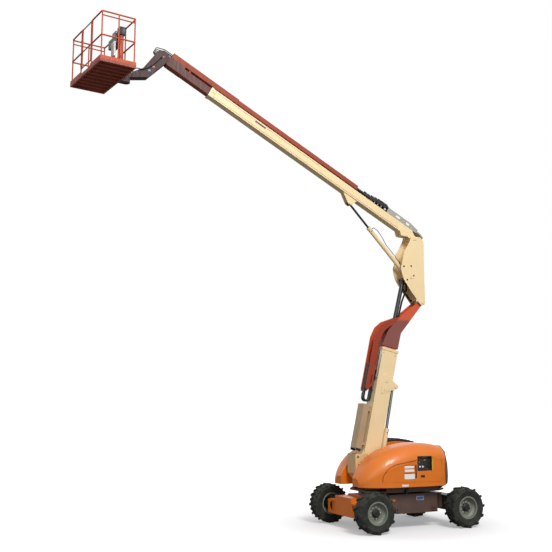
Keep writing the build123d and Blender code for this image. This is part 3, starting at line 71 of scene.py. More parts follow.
back = Vector((math.sin(AZIMUTH), math.cos(AZIMUTH), 0))
side = Vector((-math.cos(AZIMUTH), math.sin(AZIMUTH), 0))
cam_data = bpy.data.cameras.new("camera")
cam_data.lens = LENS
cam_data.sensor_width = 36.0
camera = bpy.data.objects.new("camera", cam_data)
camera.location = back * DISTANCE + side * SIDE_SHIFT + Vector((0, 0, HEIGHT))
look = -back * math.cos(PITCH) + Vector((0, 0, math.sin(PITCH)))
camera.rotation_mode = "QUATERNION"
camera.rotation_quaternion = look.to_track_quat("-Z", "Y")
bpy.context.scene.collection.objects.link(camera)
bpy.context.scene.camera = camera
print("camera at", [round(v, 2) for v in camera.location])

# %% [markdown]
# ## Node helpers
# Every finish is a small network of shader nodes. One function adds a node with its settings and
# links, one turns a hex colour into the linear values that a shader wants, and short ones stand for
# the nodes that every finish uses.


# %% Node helpers
def linear(code):
    """Linear RGBA from an sRGB hex colour."""
    channels = [int(code[i:i + 2], 16) / 255 for i in (0, 2, 4)]
    return [c / 12.92 if c <= 0.04045 else ((c + 0.055) / 1.055) ** 2.4 for c in channels] + [1.0]


def add(tree, kind, settings=None, **inputs):
    """Adds a node; an input is a value or another node's output socket."""
    node = tree.nodes.new(kind)
    for key, value in (settings or {}).items():
        setattr(node, key, value)
    for key, value in inputs.items():
        name = key.replace("_", " ")
        socket = node.inputs[int(key[1:])] if key[0] == "i" and key[1:].isdigit() else node.inputs[name]
        if isinstance(value, bpy.types.NodeSocket):
            tree.links.new(value, socket)
        else:
            socket.default_value = value
    return node


def new_material(name):
    """An empty node material with its tree, its shader and object coordinates."""
    material = bpy.data.materials.new(name)
    material.use_nodes = True
    tree = material.node_tree
    tree.nodes.clear()
    shader = add(tree, "ShaderNodeBsdfPrincipled")
    output = add(tree, "ShaderNodeOutputMaterial")
    tree.links.new(shader.outputs["BSDF"], output.inputs["Surface"])
    place = add(tree, "ShaderNodeTexCoord").outputs["Object"]
    return material, tree, shader, place


def noise(tree, place, scale, detail, roughness=0.5):
    """A noise's value, at a scale per metre."""
    return add(tree, "ShaderNodeTexNoise", Vector=place, Scale=scale, Detail=detail,
               Roughness=roughness).outputs["Fac"]


def ranged(tree, value, low, high, first, last):
    """A value between low and high, turned into one between first and last."""
    return add(tree, "ShaderNodeMapRange", Value=value, i1=low, i2=high, i3=first, i4=last).outputs[0]


def worked(tree, operation, first, second=0.0):
    """The result of a calculation with one or two values."""
    return add(tree, "ShaderNodeMath", {"operation": operation}, i0=first, i1=second).outputs[0]


def blended(tree, share, first, other):
    """A colour between two colours."""
    return add(tree, "ShaderNodeMix", {"data_type": "RGBA"}, i0=share, i6=first, i7=other).outputs[2]


def bumped(tree, shader, strength, height):
    """A shader's fine relief."""
    bump = add(tree, "ShaderNodeBump", Strength=strength, Distance=0.002, Height=height)
    tree.links.new(bump.outputs[0], shader.inputs["Normal"])


# %% [markdown]
# ## Painted steel and gel coat
# Booms and frames are welded steel with sprayed enamel: even colour, a fine orange-peel ripple and
# road dust where it can settle. The hoods are moulded fibreglass with a gel coat, which is smoother
# and deeper. Both come from one function, because only the ripple, the gloss and the dust differ.

# %% Enamel and gel coat
ROAD_DUST = "8A7460"


def enamel(name, colour, shade, gloss=0.32, ripple=0.02, dust=0.25, coat=0.25, second=None):
    """Sprayed enamel: cloudy colour, ripple, dust, and a second colour past a line, for painted shade and
    two-tone paint.
    """
    material, tree, shader, place = new_material(name)
    cloud = noise(tree, place, 2.3, 5.0, 0.6)
    streak_place = add(tree, "ShaderNodeMapping", Vector=place, Scale=(9.0, 9.0, 0.9))
    streak = noise(tree, streak_place.outputs[0], 3.0, 6.0)
    skin = blended(tree, ranged(tree, cloud, 0.35, 0.75, 0.0, 0.55), linear(colour), linear(shade))
    # Past the line the colour turns to the second one: painted shade on the guard, fly, tower head and
    # chassis, a second paint on the console.
    if second is not None:
        axis, line, blend, other = second
        along = add(tree, "ShaderNodeSeparateXYZ", Vector=place).outputs[axis]
        if axis == "Y":
            along = worked(tree, "ABSOLUTE", along)
        skin = blended(tree, ranged(tree, along, line, line + blend, 0.0, 1.0), skin, linear(other))
    film = ranged(tree, streak, 0.5, 0.8, 0.0, dust)
    tree.links.new(blended(tree, film, skin, linear(ROAD_DUST)), shader.inputs["Base Color"])
    rough = ranged(tree, streak, 0.3, 0.8, gloss, gloss + 0.25)
    tree.links.new(rough, shader.inputs["Roughness"])
    bumped(tree, shader, ripple, noise(tree, place, 260.0, 2.0))
    shader.inputs["Coat Weight"].default_value = coat
    shader.inputs["Coat Roughness"].default_value = 0.12
    return material


HOOD_ORANGE = enamel("orange_gel_coat", "E67A12", "DA6A0A", gloss=0.34, ripple=0.01, dust=0.01, coat=0.35)
BOOM_ORANGE = enamel("orange_red_enamel", "CF5327", "BE4720", gloss=0.34, dust=0.05)
# Hose guard: orange, with its side faces past |y| 0.117 darker as painted shade.
GUARD_ORANGE_SIDE_SHADE = enamel("orange_guard_side_shade", "C24A1C", "AC3C14", gloss=0.5, dust=0.04, coat=0.05,
                      second=("Y", 0.117, 0.002, "962E12"))
# Fly boom, nose and hose carrier: orange darkened to brown-orange as the platform's painted shadow, side
# faces past |y| 0.080 browner as painted shade.
FLY_PAINTED_SHADE = enamel("fly_boom_painted_shadow", "983C20", "84341A", gloss=0.55, dust=0.05, coat=0.0,
                   second=("Y", 0.080, 0.003, "5C3A32"))
# Tower head: orange above z 4.85; below it brown, a painted shadow of the gooseneck flange.
HEAD_PAINTED_SHADOW = enamel("tower_head_painted_shadow", "84463A", "743C32", gloss=0.45, dust=0.05,
                    second=("Z", 4.85, 0.06, "CC5026"))
RAIL_ORANGE = enamel("rail_enamel", "C04E28", "A84222", gloss=0.5, dust=0.03, coat=0.05)
# Platform deck: orange darkened to maroon as painted shade of the platform's underside.
DECK_PAINTED_SHADE = enamel("platform_deck_painted_shade", "A04A34", "602A20", gloss=0.50, dust=0.06, coat=0.0)
CREAM = enamel("cream_enamel", "F4DAAA", "EED09C", gloss=0.28, dust=0.08)
# Pivot frame: cream darkened to tan as painted shade.
PIVOT_PAINTED_SHADE = enamel("pivot_painted_shade_tan", "E4BE88", "D6AE78", gloss=0.32, dust=0.12)
# Hose trough: cream darkened to a deeper tan as painted shade of its front face.
TROUGH_PAINTED_SHADE = enamel("trough_painted_shade", "B89A76", "A08462", gloss=0.40, dust=0.18)
# Turntable frame: orange painted as brown, painted shade under the hood.
TURNTABLE_PAINTED_SHADE = enamel("turntable_painted_shade", "5C4238", "483229", gloss=0.42, dust=0.2, coat=0.05)
# Platform support and bracket: orange painted as dark brown, the platform's painted shadow.
SUPPORT_PAINTED_SHADOW = enamel("support_painted_shadow", "4A3433", "3C2A2A", gloss=0.6, dust=0.04, coat=0.0)
DARK = enamel("charcoal_enamel", "2A2825", "1C1B19", gloss=0.40, dust=0.25, coat=0.1)
# Chassis: orange in front of x 0.62; behind it brown, the turntable's painted shadow.
CHASSIS_PAINTED_SHADOW = enamel("chassis_painted_shadow", "604840", "4A3630", gloss=0.40, dust=0.2, coat=0.1,
                       second=("X", 0.62, 0.02, "CE6A2C"))
CONSOLE_PAINT = enamel("console_enamel", "C25436", "AC452C", gloss=0.36, dust=0.05,
                       second=("Z", 10.62, 0.008, "1C2A24"))
RIM_GREY = enamel("wheel_grey_enamel", "7E8478", "666C62", gloss=0.40, dust=0.15)

# %% [markdown]
# ## Rubber, chrome, cast iron and plastic
# Tyres are carbon-black rubber: matt, with pale dust in patches. Most rods are hard chrome, so they
# stay bright. Castings keep their grainy sand-cast skin under thin paint.


# %% Rubber
def rubber(name, colour, dust_colour, dust):
    """Matt rubber with dust in patches."""
    material, tree, shader, place = new_material(name)
    grain = noise(tree, place, 38.0, 6.0, 0.65)
    cover = worked(tree, "MULTIPLY", grain, noise(tree, place, 7.0, 4.0))
    film = ranged(tree, cover, 0.18, 0.42, 0.0, dust)
    tree.links.new(blended(tree, film, linear(colour), linear(dust_colour)), shader.inputs["Base Color"])
    shader.inputs["Roughness"].default_value = 0.82
    bumped(tree, shader, 0.25, grain)
    return material


# %% Metal
def bright_metal(name, colour, rough, streaks):
    """Turned or plated metal, uneven in its gloss."""
    material, tree, shader, place = new_material(name)
    level = ranged(tree, noise(tree, place, 180.0, 3.0), 0.3, 0.7, rough, rough + streaks)
    tree.links.new(level, shader.inputs["Roughness"])
    shader.inputs["Base Color"].default_value = linear(colour)
    shader.inputs["Metallic"].default_value = 1.0
    return material


# %% Castings and plastics
def grained(name, colour, shade, rough, scale, depth):
    """A surface with an even grain, such as a sand casting or moulded plastic."""
    material, tree, shader, place = new_material(name)
    tone = blended(tree, noise(tree, place, 4.0, 4.0), linear(colour), linear(shade))
    tree.links.new(tone, shader.inputs["Base Color"])
    shader.inputs["Roughness"].default_value = rough
    bumped(tree, shader, depth, noise(tree, place, scale, 5.0, 0.6))
    return material


TYRE_RUBBER = rubber("tyre_rubber", "12160F", "5C5E52", 0.35)
HOSE_RUBBER = rubber("hose_rubber", "0C0D0D", "2A2926", 0.2)
CHROME = bright_metal("hard_chrome", "8E9498", 0.16, 0.12)
ALUMINIUM = bright_metal("mill_aluminium", "A8A69C", 0.38, 0.2)
ZINC = bright_metal("zinc_plate", "B8B4A6", 0.32, 0.2)
CASTING = grained("cast_hub_iron", "232420", "161714", 0.5, 90.0, 0.4)
# Counterweight: orange painted as dark brown, painted shade.
COUNTERWEIGHT_PAINTED_SHADE = grained("casting_painted_shade", "5E4038", "4A322C", 0.62, 60.0, 0.5)
PLASTIC = grained("black_polymer", "1B1B1B", "111111", 0.48, 220.0, 0.2)
STEEL_BLACK = grained("black_cylinder_paint", "20231F", "141614", 0.36, 120.0, 0.1)
BLACK_OXIDE = grained("black_oxide_steel", "1E1E1D", "121212", 0.4, 150.0, 0.15)
# Weld beads: cream darkened as painted shade along the mast corners.
BEAD_PAINTED_SHADE = grained("weld_painted_edge_shade", "8E784C", "6A5636", 0.5, 70.0, 0.6)
LENS_AMBER = grained("amber_reflector", "F0901C", "D87A10", 0.18, 420.0, 0.3)
STOP_RED = grained("red_polymer", "B01F16", "8E1812", 0.35, 200.0, 0.1)
GREEN_BLACK = grained("control_box_paint", "1C2A24", "121B17", 0.45, 160.0, 0.15)
BAG_WHITE = grained("coated_white_fabric", "F2F1EC", "E2E0D8", 0.6, 140.0, 0.35)

# %% [markdown]
# ## Vinyl
# The stickers are printed vinyl under a clear film: an even colour, nearly flat, with light scuffs.
# One function gives every colour the same surface.


# %% Vinyl
def vinyl(name, colour, shade):
    """Printed vinyl of one colour."""
    return grained("vinyl_" + name, colour, shade, 0.40, 340.0, 0.04)


VINYL_WHITE = vinyl("white", "F6F5F0", "ECEAE2")
VINYL_RED = vinyl("red", "C23A22", "A9301C")
VINYL_BLACK = vinyl("black", "161616", "101010")
VINYL_YELLOW = vinyl("yellow", "EFC01E", "DCAE14")
VINYL_BLUE = vinyl("blue", "3A6FB0", "2F5F9C")
VINYL_CREAM = vinyl("cream", "F3E6C2", "EBDDB4")

# %% [markdown]
# ## Finishes of the imported parts
# Each imported part takes one finish by its name, and each added piece below takes a finish.

# %% Finishes by part
FINISHES = [  # material, parts
    (HOOD_ORANGE, "hood_left hood_right hood_door_left hood_door_right front_axle"),
    (CHASSIS_PAINTED_SHADOW, "chassis_frame"),
    (BOOM_ORANGE, "tower_fly"),
    (HEAD_PAINTED_SHADOW, "tower_head"),
    (GUARD_ORANGE_SIDE_SHADE, "hose_guard"),
    (FLY_PAINTED_SHADE, "boom_fly boom_nose hose_carrier"),
    (RAIL_ORANGE, "guard_rails platform_gate toe_board"),
    (DECK_PAINTED_SHADE, "platform_floor"),
    (CREAM, "tower_base upright boom_base tower_lift_barrel boom_lift_barrel"),
    (PIVOT_PAINTED_SHADE, "tower_pivot_frame"),
    (TROUGH_PAINTED_SHADE, "hose_trough"),
    (TURNTABLE_PAINTED_SHADE, "turntable_frame"),
    (SUPPORT_PAINTED_SHADOW, "platform_support platform_bracket"),
    (DARK, "slew_ring rear_axle knuckle_left knuckle_right ground_control"),
    (CONSOLE_PAINT, "platform_console"),
    (COUNTERWEIGHT_PAINTED_SHADE, "counterweight"),
    (CASTING, "engine_block"),
    (PLASTIC, "engine_cover tower_track boom_track"),
    (CHROME, "tower_lift_rod level_rod tie_rod"),
    (STEEL_BLACK, "level_barrel boom_lift_rod"),
    (HOSE_RUBBER, "nose_hoses support_hose upright_hoses level_hoses lift_hoses"),
    (ALUMINIUM, "hose_tray"),
]


def painted(piece, material):
    """Gives a piece one material and no other."""
    piece.data.materials.clear()
    piece.data.materials.append(material)


for material, names in FINISHES:
    for name in names.split():
        painted(NODES[name], material)
for corner in ("front_left", "front_right", "rear_left", "rear_right"):
    for prefix, material in (("tyre_", TYRE_RUBBER), ("rim_", RIM_GREY), ("hub_", CASTING)):
        painted(NODES[prefix + corner], material)
print("materials", len(bpy.data.materials))

# %% Finishes and slots of the added pieces
BRIGHT = (ZINC, "bright_steel")  # material, slot
BLACK = (PLASTIC, "black_plastic")
OXIDE = (BLACK_OXIDE, "dark_paint")
CREAM_STEEL = (CREAM, "cream_paint")
BEAD_SHADE_FINISH = (BEAD_PAINTED_SHADE, "cream_paint")
RAIL = (RAIL_ORANGE, "orange_paint")

# %% [markdown]
# ## Tools for small pieces
# A maker shapes a small part from stock: a bar end becomes a bolt head, a sheet becomes a plate. The
# cells here do the same. A primitive is added at its size, opened in edit mode, shaped on the faces
# that a test picks out, and then bevelled. Repeats are copied from one pattern.

# %% Selecting and shaping
UP = (0, 0, 1)
SMOOTH_ANGLE = math.radians(40)
TOWARDS = 0.9  # the cosine past which a face counts as turned towards a direction
patterns = []


def clear_selection():
    """Leaves nothing selected."""
    bpy.ops.object.select_all(action="DESELECT")


def named(name):
    """Names the primitive that was just added."""
    piece = bpy.context.object
    piece.name = name
    piece.data.name = name
    return piece


def cube(name, low, high):
    """A block between two corners."""
    clear_selection()
    bpy.ops.mesh.primitive_cube_add(size=1.0, location=[(a + b) / 2 for a, b in zip(low, high)])
    block = named(name)
    block.scale = [b - a for a, b in zip(low, high)]
    bpy.ops.object.transform_apply(location=True, scale=True)
    return block


def disc(name, radius, depth, vertices, base=0.0):
    """A round or many-sided blank on Z that stands at base."""
    clear_selection()
    bpy.ops.mesh.primitive_cylinder_add(vertices=vertices, radius=radius, depth=depth,
                                        location=(0, 0, base + depth / 2))
    bpy.ops.object.transform_apply(location=True)
    return named(name)


def open_all():
    """Opens the active piece in edit mode with all of it selected."""
    bpy.ops.object.mode_set(mode="EDIT")
    bpy.ops.mesh.select_all(action="SELECT")


def open_faces(piece, test):
    """Opens a piece in edit mode with only the faces that pass a test selected."""
    bpy.ops.object.mode_set(mode="EDIT")
    bpy.ops.mesh.select_mode(type="FACE")
    bpy.ops.mesh.select_all(action="DESELECT")
    shape = bmesh.from_edit_mesh(piece.data)
    for face in shape.faces:
        face.select_set(test(face))
    bmesh.update_edit_mesh(piece.data)


def close_faces():
    """Goes back to object mode."""
    bpy.ops.object.mode_set(mode="OBJECT")


def stepped(piece, steps, up=UP, walls=True):
    """Insets the face towards up and moves it by each (inset, rise), with walls or as a slope."""
    open_faces(piece, lambda face: face.normal.dot(Vector(up)) > TOWARDS)
    for inset, rise in steps:
        bpy.ops.mesh.inset(thickness=inset)
        move = tuple(Vector(up) * rise)
        if walls:
            bpy.ops.mesh.extrude_region_move(TRANSFORM_OT_translate={"value": move})
        else:
            bpy.ops.transform.translate(value=move)
    close_faces()


def soften(piece, width, segments=2):
    """Rounds a piece's sharp edges and shades it smoothly."""
    bevel = piece.modifiers.new("bevel", "BEVEL")
    bevel.width = width
    bevel.segments = segments
    bevel.limit_method = "ANGLE"
    bpy.ops.object.modifier_apply(modifier="bevel")
    bpy.ops.object.shade_smooth_by_angle(angle=SMOOTH_ANGLE)


def pressed(piece, node, axis, limit=0.0, lift=0.0):
    """Presses a piece onto a node along an axis, from either side."""
    wrap = piece.modifiers.new("wrap", "SHRINKWRAP")
    wrap.target = NODES[node]
    wrap.wrap_method = "PROJECT"
    setattr(wrap, "use_project_" + axis, True)
    wrap.use_negative_direction = True
    wrap.use_positive_direction = True
    wrap.project_limit = limit
    wrap.offset = lift
    bpy.ops.object.modifier_apply(modifier="wrap")


def bake(piece, place=None):
    """Puts a piece's place into its mesh, so that its object sits at the origin."""
    bpy.ops.object.transform_apply(location=True, rotation=True, scale=True)
    if place is not None:
        piece.data.transform(place)


def dressed(piece, body, finish):
    """Gives a finished piece its body and its material."""
    material, slot = finish
    painted(piece, material)
    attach(piece, body)
    return piece


def turned(name, radius, depth, steps, vertices=24, soft=0.0008, base=0.0):
    """A turned pattern on Z: a disc whose top face is inset and moved by each (inset, rise) in turn."""
    part = disc(name, radius, depth, vertices, base)
    stepped(part, steps)
    soften(part, soft)
    bake(part)
    patterns.append(part)
    return part


# %% Copies
def copied(pattern, place):
    """A copy of a pattern with a mesh of its own, at a place."""
    copy = pattern.copy()
    copy.data = pattern.data.copy()
    copy.data.transform(place)
    bpy.context.scene.collection.objects.link(copy)
    return copy


def joined(pieces):
    """Joins pieces into the first of them."""
    clear_selection()
    for piece in pieces:
        piece.select_set(True)
    bpy.context.view_layer.objects.active = pieces[0]
    if len(pieces) > 1:
        bpy.ops.object.join()
    return pieces[0]


def repeated(name, pattern, places, body, finish):
    """Copies a pattern to a list of places and joins the copies on one body."""
    whole = joined([copied(pattern, place) for place in places])
    whole.name = name
    whole.data.name = name
    clear_selection()
    print(name, len(places), "copies", len(whole.data.polygons), "faces")
    return dressed(whole, body, finish)


# %% Sides, places and the members' own frames
LEFT = (0, 1, 0)
FORWARD = (1, 0, 0)
SIDES = ((1, "_left"), (-1, "_right"))


def facing(x, y, z, outward):
    """A place whose own Z points outward, with its X level where it can be."""
    out = Vector(outward).normalized()
    level = Vector(UP).cross(out)
    level = level.normalized() if level.length > 0.01 else Vector(FORWARD)
    turn = Matrix((level, out.cross(level), out)).transposed().to_4x4()
    return Matrix.Translation((x, y, z)) @ turn


def on_side(member, x, z, out, side):
    """A place on one side of a member, at x and z in the member's own frame."""
    return member @ facing(x, side * out, z, (0, side, 0))


def both_sides(member, points, out):
    """Places at each point (x, z) of a member, on both of its sides."""
    return [on_side(member, x, z, out, side) for x, z in points for side in (1, -1)]


def framed(x, z, degrees, axis):
    """A member's frame: its pivot in X and Z, and its turn about an axis."""
    return Matrix.Translation((x, 0, z)) @ Matrix.Rotation(math.radians(degrees), 4, axis)


TOWER_PIN = (1.02, 1.50)  # x, z
TOWER_LEAN = -13.1
BOOM_PIN = (-0.62, 6.96)
BOOM_RAISE = -28.0
PLATFORM_PIN = (6.82, 0.0)
PLATFORM_SWING = 8.0
MACHINE = Matrix()
TOWER = framed(*TOWER_PIN, TOWER_LEAN, "Y")
BOOM = framed(*BOOM_PIN, BOOM_RAISE, "Y")
PLATFORM = framed(*PLATFORM_PIN, PLATFORM_SWING, "Z")
WHEEL_TRACK = 1.0425
WHEEL_RADIUS = 0.46
WHEELS = [  # corner, x, side
    ("front_left", 1.23, 1), ("front_right", 1.23, -1), ("rear_left", -1.23, 1), ("rear_right", -1.23, -1),
]

# %% [markdown]
# ## Bolts, wheel nuts and pin keepers
# A machine like this is held together with zinc-plated or blackened hexagon bolts on hardened
# washers. The head's chamfer is an inset of its top face, moved up a little. The washer is a wider
# disc with its rim sloped. Two sizes of bolt are made once and copied to their places.


# %% Bolt pattern
def bolt_pattern(radius):
    """A hexagon head with a chamfered top on a round washer, its axis along Z and its seat at 0."""
    head = disc("bolt_head", radius, radius * 1.1, 6, radius * 0.2)
    stepped(head, [(radius * 0.12, radius * 0.08), (radius * 0.35, -radius * 0.06)], walls=False)
    washer = disc("washer", radius * 1.6, radius * 0.3, 20, -radius * 0.03)
    stepped(washer, [(radius * 0.15, radius * 0.05)], walls=False)
    joined([head, washer])
    bpy.ops.object.shade_smooth_by_angle(angle=SMOOTH_ANGLE)
    patterns.append(head)
    return head


small_bolt = bolt_pattern(0.009)
large_bolt = bolt_pattern(0.014)
print("bolt faces", len(small_bolt.data.polygons))

# %% Wheel nuts and hub covers
NUT_CIRCLE = 0.125
NUT_COUNT = 9
NUT_SEAT = 0.045
COVER_SEAT = 0.105

hub_cover = turned("hub_cover", 0.078, 0.012, [(0.012, 0.008), (0.030, -0.005), (0.014, 0.010)], vertices=40,
                   soft=0.0015, base=COVER_SEAT)
for corner, x, side in WHEELS:
    middle = facing(x, side * WHEEL_TRACK, WHEEL_RADIUS, (0, side, 0))
    seat = Matrix.Translation((NUT_CIRCLE, 0, NUT_SEAT))
    turns = [Matrix.Rotation(math.tau * step / NUT_COUNT, 4, "Z") for step in range(NUT_COUNT)]
    around = [middle @ turn @ seat for turn in turns]
    repeated("wheel_nuts_" + corner, large_bolt, around, "wheel_" + corner, BRIGHT)
    repeated("hub_cover_" + corner, hub_cover, [middle], "wheel_" + corner, (CASTING, "hub_dark"))

# %% [markdown]
# ## Tread lugs
# A rough-terrain tyre has a deep bar tread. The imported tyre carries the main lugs, and the bars
# between them are modelled here once: a block whose crown is inset and raised, with its outer end
# widened, then turned to the same slant as its neighbours and copied round both shoulders.

# %% Lug pattern and copies
LUG_COUNT = 24
LUG_SLANT = 28.0
LUG_RADIUS = 0.434
LUG_STAND = 0.090


def lug_pattern():
    """A tread bar: long in X across the tyre, its crown facing Z."""
    block = cube("tread_lug", (-0.075, -0.020, -0.018), (0.075, 0.020, 0.018))
    stepped(block, [(0.005, 0.003)], walls=False)
    open_faces(block, lambda face: face.normal.x > TOWARDS)
    bpy.ops.transform.resize(value=(1.0, 1.35, 1.0))
    bpy.ops.transform.translate(value=(0, 0, -0.004))
    close_faces()
    soften(block, 0.002)
    bake(block)
    patterns.append(block)
    return block


tread_lug = lug_pattern()
for corner, x, side in WHEELS:
    axle = Matrix.Translation((x, side * WHEEL_TRACK, WHEEL_RADIUS))
    places = []
    for index in range(LUG_COUNT):
        sign = 1 if index % 2 else -1
        turn = Matrix.Rotation(math.tau * (index + 1) / LUG_COUNT, 4, "Y")
        shoulder = Matrix.Translation((0, sign * LUG_STAND, LUG_RADIUS))
        slant = Matrix.Rotation(math.radians(sign * (90 - LUG_SLANT)), 4, "Z")
        places.append(axle @ turn @ shoulder @ slant)
    repeated("tread_lugs_" + corner, tread_lug, places, "wheel_" + corner, (TYRE_RUBBER, "tyre"))

# %% [markdown]
# ## Door seals
# Each hood door closes on a round rubber seal that shows as a dark line. A bent line is drawn round
# the door, pressed onto the hood by a Shrinkwrap, and given a round section as a hose would be.

# %% Seal maker
SEAL_RADIUS = 0.005
SEAL_START = 1.2  # distance out, from where the line is pressed onto the hood


def seal(name, node, body, points, y):
    """A round bead along points in X and Z, pressed onto a node from the side that y lies on."""
    clear_selection()
    path = bpy.data.curves.new(name, "CURVE")
    path.dimensions = "3D"
    line = path.splines.new("POLY")
    line.points.add(len(points) - 1)
    for point, (x, z) in zip(line.points, points):
        point.co = (x, y, z, 1.0)
    bead_line = bpy.data.objects.new(name, path)
    bpy.context.scene.collection.objects.link(bead_line)
    bead_line.select_set(True)
    bpy.context.view_layer.objects.active = bead_line
    bpy.ops.object.convert(target="MESH")
    pressed(bead_line, node, "y")
    bpy.ops.object.convert(target="CURVE")
    bead_line.data.bevel_depth = SEAL_RADIUS
    bead_line.data.bevel_resolution = 2
    bpy.ops.object.convert(target="MESH")
    bpy.ops.object.shade_smooth()
    print(name, len(bead_line.data.polygons), "faces")
    return dressed(bead_line, body, (HOSE_RUBBER, None))


def spaced(corners, step=0.04):
    """Points every few centimetres along straight runs between corners."""
    points = []
    for (x0, z0), (x1, z1) in zip(corners, corners[1:]):
        count = max(1, round(math.hypot(x1 - x0, z1 - z0) / step))
        points += [(x0 + (x1 - x0) * i / count, z0 + (z1 - z0) * i / count) for i in range(count)]
    return points + [corners[-1]]


DOOR_SEAL = [  # x, z just inside the door's edge
    (0.905, 1.100), (0.905, 1.150), (0.890, 1.215), (0.862, 1.280), (0.812, 1.342), (0.745, 1.400),
    (0.660, 1.447), (0.563, 1.484), (0.330, 1.520), (0.060, 1.560),
]
for side, tag in SIDES:
    seal("door_seal" + tag, "hood_door" + tag, "door" + tag, spaced(DOOR_SEAL), side * SEAL_START)

# %% [markdown]
# ## Plates and stickers
# The machine carries printed vinyl stickers and thin plates. Here they are blank. Each starts as a
# flat sheet, gets a rim by an inset and a heading bar by a bisect, and is then pressed onto the panel
# behind it with a Shrinkwrap modifier, so it follows the hood's curve. Solidify gives it a thickness.

# %% Sticker maker
STICKER_THICKNESS = 0.0012
STICKER_LIFT = 0.0006
STICKER_REACH = 0.08
STICKER_CUTS = 3


def sticker(name, node, body, place, size, materials, rim=0.0, bar=0.0):
    """A blank sticker on a node: a field, a rim and a heading bar, in that order of materials."""
    clear_selection()
    width, height = size
    bpy.ops.mesh.primitive_plane_add(size=1.0)
    sheet = named(name)
    sheet.scale = (width, height, 1.0)
    bpy.ops.object.transform_apply(scale=True)
    for material in materials:
        sheet.data.materials.append(material)

    def within(face):
        return abs(face.center.x) < width / 2 - rim and abs(face.center.y) < height / 2 - rim

    if rim:
        open_all()
        bpy.ops.mesh.inset(thickness=rim)
        close_faces()
        for face in sheet.data.polygons:
            face.material_index = 0 if within(face) else 1
    if bar:
        open_all()
        level = height / 2 - rim - bar
        bpy.ops.mesh.bisect(plane_co=(0, level, 0), plane_no=LEFT)
        close_faces()
        for face in sheet.data.polygons:
            if face.center.y > level and within(face):
                face.material_index = len(materials) - 1
    open_all()
    bpy.ops.mesh.subdivide(number_cuts=STICKER_CUTS)
    close_faces()
    sheet.matrix_world = place
    bpy.context.view_layer.update()
    pressed(sheet, node, "z", STICKER_REACH, STICKER_LIFT)
    wall = sheet.modifiers.new("wall", "SOLIDIFY")
    wall.thickness = STICKER_THICKNESS
    wall.offset = 1.0
    bpy.ops.object.modifier_apply(modifier="wall")
    bake(sheet)
    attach(sheet, body)
    return sheet


# %% Stickers on the hoods, the chassis and the masts
HOOD_SIDE = 1.03
FRAME_SIDE = 0.73
RED_RIM = (VINYL_WHITE, VINYL_RED)
BLUE_PLATE = (VINYL_BLUE, VINYL_WHITE)
LEFT_DOOR = ("hood_door_left", "door_left", HOOD_SIDE, 1)  # node, body, distance out, left 1 or right -1
RIGHT_DOOR = ("hood_door_right", "door_right", HOOD_SIDE, -1)
CHASSIS_LEFT = ("chassis_frame", "chassis", FRAME_SIDE, 1)
CHASSIS_RIGHT = ("chassis_frame", "chassis", FRAME_SIDE, -1)
CHASSIS_PLATE = (-0.235, 0.68, 0.20, 0.085, BLUE_PLATE, 0.006, 0.0)
REFLECTOR = (0.50, 0.66, 0.10, 0.040, (LENS_AMBER,), 0.0, 0.0)
PIVOT_LABEL = (1.06, 1.385, 0.145, 0.150, (VINYL_CREAM, VINYL_CREAM, VINYL_RED), 0.006, 0.030)
STICKERS = [  # panel, its stickers: name, x, z, width, height, materials, rim, heading bar
    (LEFT_DOOR, [
        ("hood_plate_top", 0.245, 1.426, 0.262, 0.078, RED_RIM, 0.004, 0.014),
        ("hood_plate_middle", 0.245, 1.340, 0.262, 0.064, RED_RIM, 0.004, 0.0),
        ("hood_plate_low", 0.243, 1.218, 0.282, 0.144, RED_RIM, 0.004, 0.020),
        # The black slot is a flat sheet of painted shade for a recess.
        ("hood_slot_shade", 0.068, 1.316, 0.036, 0.306, (VINYL_BLACK,), 0.0, 0.0)]),
    (("hood_left", "turntable", HOOD_SIDE, 1), [
        ("hood_small_plate", 0.363, 1.012, 0.175, 0.040, (VINYL_WHITE,), 0.0, 0.0)]),
    (RIGHT_DOOR, [
        ("hood_plate_right_top", 0.30, 1.40, 0.26, 0.12, RED_RIM, 0.004, 0.018),
        ("hood_plate_right_low", 0.30, 1.25, 0.26, 0.12, RED_RIM, 0.004, 0.0)]),
    (LEFT_DOOR, [("panel_edge", -0.395, 1.492, 0.022, 0.33, (VINYL_YELLOW,), 0.0, 0.0)]),
    (CHASSIS_LEFT, [("chassis_plate_blue", *CHASSIS_PLATE)]),
    (CHASSIS_RIGHT, [("chassis_plate_right", *CHASSIS_PLATE)]),
    (CHASSIS_LEFT, [("reflector_left", *REFLECTOR)]),
    (CHASSIS_RIGHT, [("reflector_right", *REFLECTOR)]),
    (("tower_pivot_frame", "turntable", 0.23, 1), [("pivot_label_left", *PIVOT_LABEL)]),
    (("tower_pivot_frame", "turntable", 0.23, -1), [("pivot_label_right", *PIVOT_LABEL)]),
    (("platform_support", "support", 0.14, 1), [
        ("support_mark_blue", 6.319, 10.205, 0.060, 0.045, (VINYL_BLUE,), 0.0, 0.0),
        ("support_cap_red", 5.985, 10.585, 0.040, 0.030, (VINYL_RED,), 0.0, 0.0),
        ("support_mark_red", 6.221, 10.306, 0.050, 0.034, (VINYL_RED,), 0.0, 0.0)]),
]
for (node, body, out, side), rows in STICKERS:
    for name, x, z, width, height, materials, rim, bar in rows:
        sticker(name, node, body, on_side(MACHINE, x, z, out, side), (width, height), materials, rim, bar)

